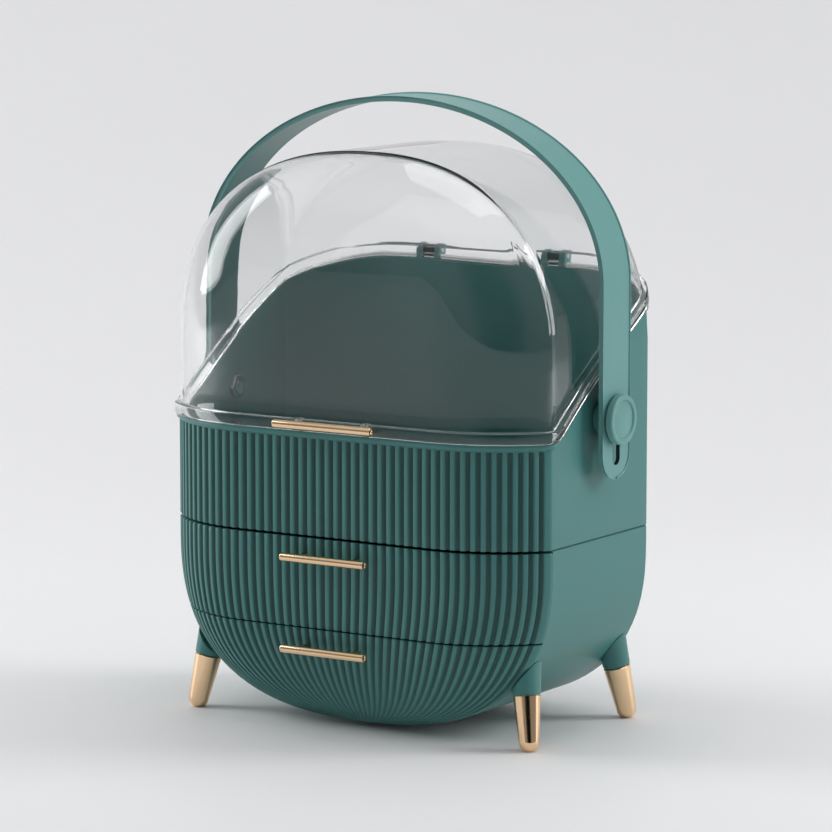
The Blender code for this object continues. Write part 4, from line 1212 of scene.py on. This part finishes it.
def make_tray(name, top_z, low_z, body_name, node):
    """An open tray behind a drawer front. With no low_z it is round below."""
    drawers, body = sizes("drawers"), sizes("body")
    places = plain_places(0.0, 12)
    wall, soft = drawers.tray_wall, body.soft
    inset = body.wall + drawers.side_gap
    if low_z is None:
        outer = low_levels(top_z - soft, inset, 20)
        inner = low_levels(top_z - soft, inset + wall, 20)
    else:
        outer = spread(top_z - soft, low_z, 8)
        inner = spread(top_z - soft, low_z + wall, 8)
    rows = [(z, 0.0) for z in reversed(outer)]
    rows += [(top_z - soft / 3, soft / 3), (top_z, soft), (top_z, wall - soft),
             (top_z - soft / 3, wall - soft / 3)]
    rows += [(z, wall) for z in inner]
    mould = Mould()
    made = [mould.row(tray_ring(z, extra, places)) for z, extra in rows]
    mould.strips(made)
    mould.mesh.faces.new(made[0])
    mould.mesh.faces.new(made[-1])
    piece(name, mould.finish(name), inner_plastic(), body_name, [node])


def make_dome():
    """The clear dome with its thick rim and two hinge eyes."""
    body, rim = sizes("body"), sizes("rim")
    places = plain_places(body.dome_edge)
    soft, wall, bend, outer = body.soft, body.lid_wall, rim.lid_round, -rim.reach
    bottom, top = rim.gap, rim.gap + rim.lid_height

    def dome_rows(inset, start):
        """Rows of one skin, from the rim to the top."""
        foot = flat(dome_level(math.radians(DOME_TURNS[0]), inset))
        rows = [(blend_level(start, foot, step / 9), inset) for step in range(1, 9)]
        return rows + [(flat(dome_level(math.radians(turn), inset)), inset) for turn in DOME_TURNS]

    # Down the inside, round the flange and up the outside
    rows = dome_rows(wall, rim_level(bottom + soft))[::-1]
    rows += [(rim_level(bottom + soft), wall), (rim_level(bottom + soft / 3), wall - soft / 3),
             (rim_level(bottom), wall - soft)]
    rows += [(rim_level(bottom + bend * up), outer + bend * back) for up, back in quarter(5)]
    rows += [(rim_level(top - bend * down), outer + bend * back) for back, down in quarter(5)]
    rows += [(rim_level(top + soft * up), -soft * back) for up, back in quarter(3)]
    rows += dome_rows(0.0, rim_level(top + soft))

    mould = Mould()
    made = [mould.row(body_ring(level, inset, places, body.dome_edge, sides=28))
            for level, inset in rows]
    mould.capped(made, len(places))
    rim_z = rim_level(bottom)(body.face_reach + rim.reach)
    foot_y = middle_reach(hinge_axis()[1], -rim.reach)
    profile = knuckle_profile(rim_z + rim.eye_inset, rim_z + rim.lid_height - rim.eye_inset, foot_y)
    for centre in (-rim.hinge_x, rim.hinge_x):
        add_eye(mould, profile, centre - rim.knuckle_half, centre + rim.knuckle_half)
    data = mould.finish("clear_dome", sharp=60.0)
    piece("clear_dome", data, clear_plastic(), "lid", ["lid"])


def make_bar(node, name, body_name):
    """A round bar with dished ends on two posts that reach back to what carries it."""
    bars = sizes("bars")
    corner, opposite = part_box(node)
    half = opposite.x
    bar_y, bar_z = corner.y + bars.radius, (corner.z + opposite.z) / 2
    # From the middle out along the bar, round its end and into the dish
    outward = round_corner(half, bars.radius, bars.chamfer)
    outward += [(half, bars.dish_radius), (half - bars.dish_depth * 0.8, bars.dish_radius * 0.94),
                (half - bars.dish_depth, bars.dish_radius * 0.8)]
    profile = [(-place, radius) for place, radius in reversed(outward)] + outward
    mould = Mould()
    mould.turned(profile, axis_matrix((0, bar_y, bar_z), (1, 0, 0)), segments=56)
    for x in (-(half - bars.post_inset), half - bars.post_inset):
        post = [(bar_y, bars.post_radius), (opposite.y - bars.chamfer, bars.post_radius),
                (opposite.y, bars.post_radius - bars.chamfer / 3)]
        mould.turned(post, axis_matrix((x, 0, bar_z), (0, 1, 0)), segments=32)
    piece(name, mould.finish(name, sharp=50.0), rose_gold(), body_name, [node])


def strap_section():
    """Depths and breadths round the strap's cross-section, from its outer face."""
    handle = sizes("handle")
    half, cut, thick = handle.half, handle.chamfer, handle.thickness
    section = []
    for depth, edge, start in ((cut, half - cut, 90), (cut, -(half - cut), 180),
                               (thick - cut, -(half - cut), 270), (thick - cut, half - cut, 0)):
        corner = arc((edge, depth), cut, 360 - start, 360 - start - 90, 3)
        section += [(deep, across) for across, deep in corner]
    return section


def strap_point(kind, value, depth, y):
    """A point of the strap's right half: in its round end, along its leg or on its arch."""
    handle = sizes("handle")
    curve_z = sizes("body").lid_curve_z + handle.curve_lift
    end_centre_z = handle.end_z + handle.half
    reach = handle.outer_x - depth
    if kind == "arch":
        rise = handle.top_z - curve_z - depth
        return Vector((math.cos(value) * reach, y, curve_z + math.sin(value) * rise))
    if kind == "leg":
        return Vector((reach, y, end_centre_z + (curve_z - end_centre_z) * value))
    return Vector((reach, y * math.cos(value), end_centre_z - abs(y) * math.sin(value)))


def slot_cutter():
    """What the two slots take out of the strap, a little wider at its two faces."""
    handle = sizes("handle")
    radius, soft = handle.pin_radius + sizes("rim").gap, handle.chamfer * 0.6
    thick, outer_x = handle.thickness, handle.outer_x
    inner_x = outer_x - thick
    cutter = Mould()
    for side in (-1, 1):
        rows = []
        for x, extra in ((inner_x - thick, soft * 2), (inner_x, soft), (inner_x + soft, 0.0),
                         (outer_x - soft, 0.0), (outer_x, soft), (outer_x + thick, soft * 2)):
            outline = arc((0.0, handle.pivot_z), radius + extra, 0, 180, 20)
            outline += arc((0.0, handle.pivot_z - handle.travel), radius + extra, 180, 360, 20)
            rows.append(cutter.row([Vector((side * x, y, z)) for y, z in outline]))
        cutter.strips(rows)
        cutter.mesh.faces.new(rows[0])
        cutter.mesh.faces.new(rows[-1])
    return cutter


def make_strap():
    """The carry strap: two legs with slots and an arch over the dome."""
    stations = [("end", math.radians(turn)) for turn in range(90, 0, -6)]
    stations += [("leg", part / 6) for part in range(6)]
    stations += [("arch", math.radians(turn)) for turn in range(0, 91, 2)]
    section = strap_section()
    mould = Mould()
    rows = []
    for side in (1, -1):
        for kind, value in stations if side == 1 else reversed(stations[:-1]):
            points = [strap_point(kind, value, depth, y) for depth, y in section]
            rows.append(mould.row([Vector((side * x, y, z)) for x, y, z in points]))
    mould.strips(rows)

    sources = []
    for name, made, material in (("strap source", mould, lit_handle_plastic()),
                                 ("slot cutter", slot_cutter(), slot_painted_shade())):
        source = bpy.data.objects.new(name, made.finish(name))
        source.data.materials.append(material)
        bpy.context.scene.collection.objects.link(source)
        sources.append(source)
    strap, tool = sources
    cutting = strap.modifiers.new("slots", "BOOLEAN")
    cutting.operation, cutting.object, cutting.solver = "DIFFERENCE", tool, "EXACT"
    # The slot walls take the cutter's dark green: painted shade.
    cutting.material_mode = "TRANSFER"
    graph = bpy.context.evaluated_depsgraph_get()
    data = bpy.data.meshes.new_from_object(strap.evaluated_get(graph), depsgraph=graph)
    data.name = "carry_strap"
    for source in sources:
        mesh = source.data
        bpy.data.objects.remove(source)
        bpy.data.meshes.remove(mesh)
    data.shade_smooth()
    data.set_sharp_from_angle(angle=math.radians(32.0))
    # The strap's paler green is painted light.
    piece("carry_strap", data, lit_handle_plastic(), "handle", ["handle"])


def make_knob(side, label):
    """A round knob with a dished face, on the pin that the strap swings and slides on."""
    handle = sizes("handle")
    corner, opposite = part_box("knob_" + label)
    face, back = handle.knob_face_x, handle.outer_x + sizes("rim").gap
    pin_end = min(abs(corner.x), abs(opposite.x))
    soft, radius = handle.knob_round, handle.knob_radius
    dish, depth = handle.dish_radius, handle.dish_depth
    # Along the pin, out round the knob and in over its dished face
    profile = [(pin_end, handle.pin_radius), (back, handle.pin_radius), (back, radius - soft / 2),
               (back + soft / 2, radius)]
    profile += round_corner(face, radius, soft)
    profile += [(face, dish + depth), (face - depth * 0.2, dish + depth * 0.4),
                (face - depth * 0.8, dish), (face - depth * 1.3, dish - depth * 0.4),
                (face - depth * 1.3, dish - depth), (face - depth, dish - depth * 1.8),
                (face - depth, dish * 0.05)]
    mould = Mould()
    mould.turned(profile, axis_matrix((0, 0, handle.pivot_z), (side, 0, 0)), segments=112)
    name = "pivot_knob_" + label
    data = mould.finish(name)
    # The knob's paler green is painted light.
    piece(name, data, lit_handle_plastic(), "handle_pivots", ["knob_" + label])


def make_ring(side, label):
    """The spacer and the six-sided nut on a knob's pin."""
    handle = sizes("handle")
    bore, soft = handle.pin_radius + sizes("rim").gap, handle.ring_round
    matrix = axis_matrix((0, 0, handle.pivot_z), (side, 0, 0))
    turns = spread(0.0, math.tau, 72)[:-1]
    sixth = math.tau / 6
    for node, name, six_sided, material, slot in (
        ("pivot_spacer_" + label, "strap_spacer_" + label, False, green_plastic(), "green_plastic"),
        ("pivot_nut_" + label, "six_sided_nut_" + label, True, steel(), "steel"),
    ):
        corner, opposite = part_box(node)
        start, end = sorted((side * corner.x, side * opposite.x))
        radius = opposite.z - handle.pivot_z
        mould = Mould()
        rows = []
        for height, wide in ((start, bore), (start, radius - soft), (start + soft, radius),
                             (end - soft, radius), (end, radius - soft), (end, bore)):
            points = []
            for turn in turns:
                reach = wide
                if six_sided and wide != bore:
                    reach *= math.cos(sixth / 2) / math.cos(turn % sixth - sixth / 2)
                spot = Vector((reach * math.cos(turn), reach * math.sin(turn), height))
                points.append(matrix @ spot)
            rows.append(mould.row(points))
        mould.strips(rows + [rows[0]])
        piece(name, mould.finish(name, sharp=25.0), material, "handle_pivots", [node])


def leg_axis(side_x, side_y):
    """Foot point and the direction up along a leg that splays outwards."""
    legs = sizes("legs")
    lean = math.sin(legs.splay) * math.sqrt(0.5)
    foot = Vector((side_x * legs.foot_x, side_y * legs.foot_y, 0.0))
    return foot, Vector((-side_x * lean, -side_y * lean, math.cos(legs.splay)))


def under_gap(spot):
    """Negative inside the body's round underside, positive below it."""
    body = sizes("body")
    gap = sizes("rim").gap
    depth = max(0.0, body.low_curve_z - spot.z) / (body.low_curve_z - body.bottom_z + gap)
    across = abs(spot.x) / (body.half_width + gap)
    return across ** body.low_power + depth ** body.low_power - 1


def make_tip(matrix, label):
    """A metal tip: a round foot cut level, a cone and the spigot that its sleeve sits on."""
    legs = sizes("legs")
    ball, soft = legs.tip_low_radius, legs.tip_soft
    top, radius = legs.tip_length, legs.tip_high_radius
    profile = [(ball - height - legs.foot_flat, wide)
               for height, wide in arc((0.0, 0.0), ball, 0, 90, 15)[1:]]
    profile += [(top - soft, radius), (top, radius - soft), (top, legs.spigot_radius),
                (top + legs.spigot_length, legs.spigot_radius)]
    mould = Mould()
    mould.turned(profile, matrix, LEG_SEGMENTS)
    for vertex in mould.mesh.verts:
        vertex.co.z = max(vertex.co.z, 0.0)
    name = "gold_foot_" + label
    data = mould.finish(name, sharp=40.0)
    piece(name, data, rose_gold_upright(), "body", ["leg_tip_" + label])


def make_sleeve(matrix, label):
    """The green sleeve between a tip and the housing, cut to the round underside."""
    legs = sizes("legs")
    start, low_radius = legs.tip_length + sizes("rim").gap, legs.tip_high_radius
    rim_radius = low_radius - legs.tip_soft
    steps = 12

    def on_cone(height, turn):
        """A point on the sleeve's side."""
        part = (height - start) / legs.sleeve_length
        radius = low_radius + (legs.sleeve_radius - low_radius) * part
        return matrix @ Vector((radius * math.cos(turn), radius * math.sin(turn), height))

    columns = []
    for segment in range(LEG_SEGMENTS):
        turn = math.tau * segment / LEG_SEGMENTS
        below, above = start, start + 2 * legs.sleeve_length
        for _ in range(40):  # each time halves the span in which the cone meets the underside
            middle = (below + above) / 2
            if under_gap(on_cone(middle, turn)) > 0:
                below = middle
            else:
                above = middle
        rim_spot = Vector((rim_radius * math.cos(turn), rim_radius * math.sin(turn), start))
        column = [matrix @ rim_spot]
        column += [on_cone(height, turn) for height in spread(start + legs.tip_soft, below, steps)]
        columns.append(column)
    mould = Mould()
    rows = [mould.row([column[step] for column in columns]) for step in range(steps + 2)]
    mould.strips(rows)
    mould.mesh.faces.new(rows[0])
    crown = mould.row([sum((column[-1] for column in columns), Vector()) / LEG_SEGMENTS])[0]
    for place, vertex in enumerate(rows[-1]):
        mould.mesh.faces.new((vertex, rows[-1][(place + 1) % LEG_SEGMENTS], crown))
    name = "green_sleeve_" + label
    data = mould.finish(name, sharp=40.0)
    piece(name, data, green_plastic(), "body", ["leg_sleeve_" + label])


def make_screws(name, spots, head_radius, head_height, shank_radius, shank_length, body_name,
                nodes):
    """Recessed screws: each spot is the seat under a head and the way its head faces."""
    mould = Mould()
    mould.row([(Vector(seat), 0.0, Vector(way)) for seat, way in spots])
    data = bpy.data.meshes.new(name + " points")
    mould.mesh.to_mesh(data)
    mould.mesh.free()
    metal_used = steel()
    values = {"Head Radius": head_radius, "Head Height": head_height, "Shank Radius": shank_radius,
              "Shank Length": shank_length, "Material": metal_used}
    made = apply_tree(data, screw_tree(), values, name)
    piece(name, made, metal_used, body_name, nodes)


def make_floor_screws():
    """The screws that hold the compartment to the housing."""
    screws = sizes("screws")
    nodes = [f"body_screw_{number}" for number in range(1, 5)]
    spots = []
    for node in nodes:
        corner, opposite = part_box(node)
        middle = (corner + opposite) / 2
        spots.append(((middle.x, middle.y, opposite.z - screws.floor_head_height), (0, 0, 1)))
    make_screws("floor_screws", spots, screws.floor_head_radius, screws.floor_head_height,
                screws.floor_shank_radius, screws.floor_shank_length, "body", nodes)


def make_leg_screws():
    """The screws inside the housing that hold the legs, square to its round underside."""
    legs, body, screws = sizes("legs"), sizes("body"), sizes("screws")
    reach, power = body.low_curve_z - body.bottom_z, body.low_power
    x = body.half_width * math.cos(legs.screw_turn) ** (2 / power)
    z = low_level(legs.screw_turn, 0.0)
    spots, nodes = [], []
    for side_x, side_y, label in LEGS:
        out = Vector((side_x * (x / body.half_width) ** (power - 1) / body.half_width, 0.0,
                      -((body.low_curve_z - z) / reach) ** (power - 1) / reach)).normalized()
        foot, way = leg_axis(side_x, side_y)
        skin = Vector((side_x * x, (foot + way * (z / way.z)).y, z))
        spots.append((skin - out * (body.wall + screws.leg_boss), -out))
        nodes.append("leg_screw_" + label)
    make_screws("leg_screws", spots, screws.leg_head_radius, screws.leg_head_height,
                screws.leg_shank_radius, screws.leg_shank_length, "body", nodes)


def make_bar_screws():
    """The screws that hold the grip bars from behind."""
    screws = sizes("screws")
    shank_radius = sizes("bars").post_radius * screws.bar_shank_share
    for owner, label, body_name in BARS:
        nodes = [f"{owner}_screw_{number}" for number in (1, 2)]
        spots = []
        for node in nodes:
            corner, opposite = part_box(node)
            middle = (corner + opposite) / 2
            seat_y = opposite.y - screws.bar_head_height
            spots.append(((middle.x, seat_y, middle.z), (0, 1, 0)))
        make_screws(label + "_bar_screws", spots, screws.bar_head_radius, screws.bar_head_height,
                    shank_radius, seat_y - corner.y, body_name, nodes)


# Stage


def view_axes():
    """The camera's right, the level way away from it, and the way back towards it."""
    stage = sizes("stage")
    right = Vector((math.cos(stage.turn), math.sin(stage.turn), 0.0))
    away = Vector((-math.sin(stage.turn), math.cos(stage.turn), 0.0))
    backward = Vector((0.0, 0.0, math.sin(stage.tilt))) - away * math.cos(stage.tilt)
    return right, away, backward


def floor_material():
    """Matt pale paper that keeps the object's shadow, open to a look from behind."""
    tint = tuple(sizes("colours").floor)
    made, tree, shader = new_material("pale paper", tint)
    grain = add_node(tree, "ShaderNodeGroup", node_tree=grain_group(),
                     inputs={"Grain Scale": 700.0, "Mottle Scale": 3.0})
    tone = mottled(tree, grain.outputs["Mottle"], tint, dark=0.985, pale=1.015)
    tree.links.new(tone, shader.inputs["Base Color"])
    shader.inputs["Roughness"].default_value = 0.6
    add_bump(tree, shader, grain.outputs["Grain"], strength=0.03, distance=0.0003)
    side = add_node(tree, "ShaderNodeNewGeometry")
    clear = add_node(tree, "ShaderNodeBsdfTransparent")
    seen = add_node(tree, "ShaderNodeMixShader", inputs={0: side.outputs["Backfacing"]})
    tree.links.new(shader.outputs[0], seen.inputs[1])
    tree.links.new(clear.outputs[0], seen.inputs[2])
    tree.links.new(seen.outputs[0], tree.nodes["Material Output"].inputs["Surface"])
    return made


def make_paper():
    """A sheet of paper that lies under the object and bends up behind it."""
    stage = sizes("stage")
    right, away, _ = view_axes()
    front, back, bend = stage.sweep_front, stage.sweep_back, stage.sweep_bend
    profile = [(-front, 0.0), (-front / 3, 0.0), (back, 0.0)]
    profile += arc((back, bend), bend, 270, 360, 24)
    profile.append((back + bend, stage.sweep_top))
    mould = Mould()
    rows = []
    for across in (-stage.sweep_half, 0.0, stage.sweep_half):
        rows.append(mould.row([right * across + away * depth + Vector((0.0, 0.0, z))
                               for depth, z in profile]))
    mould.strips(rows, closed=False)
    data = mould.finish("paper sweep")
    data.materials.append(floor_material())
    if data.polygons[0].normal.z < 0:
        data.flip_normals()
    sweep = bpy.data.objects.new("paper sweep", data)
    bpy.context.scene.collection.objects.link(sweep)
    return sweep


def soft_light(name, place, aim, size, power):
    """A rectangular lamp at a place, aimed at another."""
    light = bpy.data.lights.new(name, "AREA")
    light.shape = "RECTANGLE"
    light.size, light.size_y = size
    light.energy = power
    made = bpy.data.objects.new(name, light)
    made.location = place
    made.rotation_mode = "QUATERNION"
    made.rotation_quaternion = (Vector(aim) - Vector(place)).to_track_quat("-Z", "Y")
    bpy.context.scene.collection.objects.link(made)
    return made


def make_room():
    """A pale world with a bright ceiling, dark on the camera's side, which the metal mirrors."""
    stage = sizes("stage")
    world = bpy.data.worlds.new("pale room")
    bpy.context.scene.world = world
    world.use_nodes = True
    tree = world.node_tree
    way = add_node(tree, "ShaderNodeTexCoord").outputs["Generated"]
    toward = add_node(tree, "ShaderNodeVectorMath", operation="DOT_PRODUCT",
                      inputs={0: way, 1: view_axes()[2]})
    height = add_node(tree, "ShaderNodeSeparateXYZ", inputs={0: way})
    behind_camera = faded(tree, toward.outputs["Value"], start=0.88, end=0.985)
    overhead = faded(tree, height.outputs["Z"], start=0.45, end=0.65)
    walls = mixed(tree, behind_camera, (*sizes("colours").walls, 1.0), (*[stage.dark] * 3, 1.0))
    light = mixed(tree, overhead, walls, (*[stage.ceiling] * 3, 1.0))
    background = tree.nodes["Background"]
    tree.links.new(light, background.inputs["Color"])
    background.inputs["Strength"].default_value = stage.room


def make_camera():
    """The camera that sees the object at the photograph's angle."""
    stage = sizes("stage")
    right, _, backward = view_axes()
    upward = backward.cross(right)
    eye = backward * stage.distance + right * stage.aside + upward * stage.above
    lens = bpy.data.cameras.new("photo view")
    lens.sensor_width = 36.0
    lens.lens = stage.lens
    camera = bpy.data.objects.new("photo view", lens)
    camera.matrix_world = Matrix((
        (right.x, upward.x, backward.x, eye.x),
        (right.y, upward.y, backward.y, eye.y),
        (right.z, upward.z, backward.z, eye.z),
        (0.0, 0.0, 0.0, 1.0),
    ))
    bpy.context.scene.collection.objects.link(camera)
    bpy.context.scene.camera = camera


# Operators


class ORGANIZER_OT_box(bpy.types.Operator):
    """Make the ribbed compartment"""
    bl_idname = "organizer.box"
    bl_label = "Compartment"
    bl_options = {"REGISTER", "UNDO"}

    def execute(self, context):
        make_top_box()
        return {"FINISHED"}


class ORGANIZER_OT_housing(bpy.types.Operator):
    """Make the drawer housing"""
    bl_idname = "organizer.housing"
    bl_label = "Drawer housing"
    bl_options = {"REGISTER", "UNDO"}

    def execute(self, context):
        make_housing()
        return {"FINISHED"}


class ORGANIZER_OT_drawers(bpy.types.Operator):
    """Make both drawers: ribbed fronts and trays"""
    bl_idname = "organizer.drawers"
    bl_label = "Drawers"
    bl_options = {"REGISTER", "UNDO"}

    def execute(self, context):
        drawers = sizes("drawers")
        make_front("upper_ribbed_front", drawers.upper_top_z, drawers.upper_low_z, "upper_drawer",
                   "upper_drawer_front")
        make_front("lower_ribbed_front", drawers.lower_top_z, None, "lower_drawer",
                   "lower_drawer_front")
        make_tray("upper_tray", drawers.upper_tray_z, drawers.upper_tray_low_z, "upper_drawer",
                  "upper_drawer_tray")
        make_tray("lower_tray", drawers.lower_tray_z, None, "lower_drawer", "lower_drawer_tray")
        return {"FINISHED"}


class ORGANIZER_OT_dome(bpy.types.Operator):
    """Make the clear dome"""
    bl_idname = "organizer.dome"
    bl_label = "Clear dome"
    bl_options = {"REGISTER", "UNDO"}

    def execute(self, context):
        make_dome()
        return {"FINISHED"}


class ORGANIZER_OT_bars(bpy.types.Operator):
    """Make the three grip bars"""
    bl_idname = "organizer.bars"
    bl_label = "Grip bars"
    bl_options = {"REGISTER", "UNDO"}

    def execute(self, context):
        for node, label, body_name in BARS:
            make_bar(node, label + "_grip_bar", body_name)
        return {"FINISHED"}


class ORGANIZER_OT_handle(bpy.types.Operator):
    """Make the carry strap with its knobs, spacers and nuts"""
    bl_idname = "organizer.handle"
    bl_label = "Carry handle"
    bl_options = {"REGISTER", "UNDO"}

    def execute(self, context):
        make_strap()
        for side, label in ((-1, "left"), (1, "right")):
            make_knob(side, label)
            make_ring(side, label)
        return {"FINISHED"}


class ORGANIZER_OT_legs(bpy.types.Operator):
    """Make the four legs"""
    bl_idname = "organizer.legs"
    bl_label = "Legs"
    bl_options = {"REGISTER", "UNDO"}

    def execute(self, context):
        for side_x, side_y, label in LEGS:
            matrix = axis_matrix(*leg_axis(side_x, side_y))
            make_tip(matrix, label)
            make_sleeve(matrix, label)
        return {"FINISHED"}


class ORGANIZER_OT_screws(bpy.types.Operator):
    """Make the recessed screws on their CAD seats"""
    bl_idname = "organizer.screws"
    bl_label = "Screws"
    bl_options = {"REGISTER", "UNDO"}

    def execute(self, context):
        make_floor_screws()
        make_leg_screws()
        make_bar_screws()
        return {"FINISHED"}


class ORGANIZER_OT_carried(bpy.types.Operator):
    """Paint the shelf and the hinge pins that are kept from the CAD part"""
    bl_idname = "organizer.carried"
    bl_label = "Shelf and hinge pins"
    bl_options = {"REGISTER", "UNDO"}

    def execute(self, context):
        for node, material, slot in (("drawer_shelf", inner_plastic(), "inner_plastic"),
                                     ("hinge_pin_left", steel(), "steel"),
                                     ("hinge_pin_right", steel(), "steel")):
            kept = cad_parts[node]
            kept.data.materials.clear()
            kept.data.materials.append(material)
        return {"FINISHED"}


class ORGANIZER_OT_stage(bpy.types.Operator):
    """Make the floor, the soft lights, the room and the camera"""
    bl_idname = "organizer.stage"
    bl_label = "Stage"
    bl_options = {"REGISTER", "UNDO"}

    def execute(self, context):
        stage = sizes("stage")
        lamps = [soft_light(name, place, aim, size, getattr(stage, power))
                 for name, place, aim, size, power in LAMPS]
        make_paper()
        make_room()
        make_camera()
        context.scene.view_settings.view_transform = "Standard"
        return {"FINISHED"}


OPERATORS = (
    ORGANIZER_OT_box, ORGANIZER_OT_housing, ORGANIZER_OT_drawers, ORGANIZER_OT_dome,
    ORGANIZER_OT_bars, ORGANIZER_OT_handle, ORGANIZER_OT_legs, ORGANIZER_OT_screws,
    ORGANIZER_OT_carried, ORGANIZER_OT_stage,
)


class ORGANIZER_PT_sizes(bpy.types.Panel):
    """Sizes of the organizer and the steps that make it"""
    bl_label = "Makeup organizer"
    bl_idname = "ORGANIZER_PT_sizes"
    bl_space_type = "VIEW_3D"
    bl_region_type = "UI"
    bl_category = "Organizer"

    def draw(self, context):
        column = self.layout.column()
        for name, group in GROUPS.items():
            column.label(text=group.__doc__)
            for field in group.__annotations__:
                column.prop(getattr(context.scene, name), field)
        for operator in OPERATORS:
            column.operator(operator.bl_idname)


def register():
    """Adds the sizes, the operators and the panel."""
    for name, group in GROUPS.items():
        bpy.utils.register_class(group)
        setattr(bpy.types.Scene, name, PointerProperty(type=group))
    for made in (*OPERATORS, ORGANIZER_PT_sizes):
        bpy.utils.register_class(made)


def unregister():
    """Takes them out again."""
    for made in (ORGANIZER_PT_sizes, *reversed(OPERATORS)):
        bpy.utils.unregister_class(made)
    for name, group in GROUPS.items():
        delattr(bpy.types.Scene, name)
        bpy.utils.unregister_class(group)


def main():
    """Makes every piece and the stage."""
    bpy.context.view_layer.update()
    register()
    for operator in OPERATORS:
        group, name = operator.bl_idname.split(".")
        getattr(getattr(bpy.ops, group), name)()


if __name__ == "__main__":
    main()
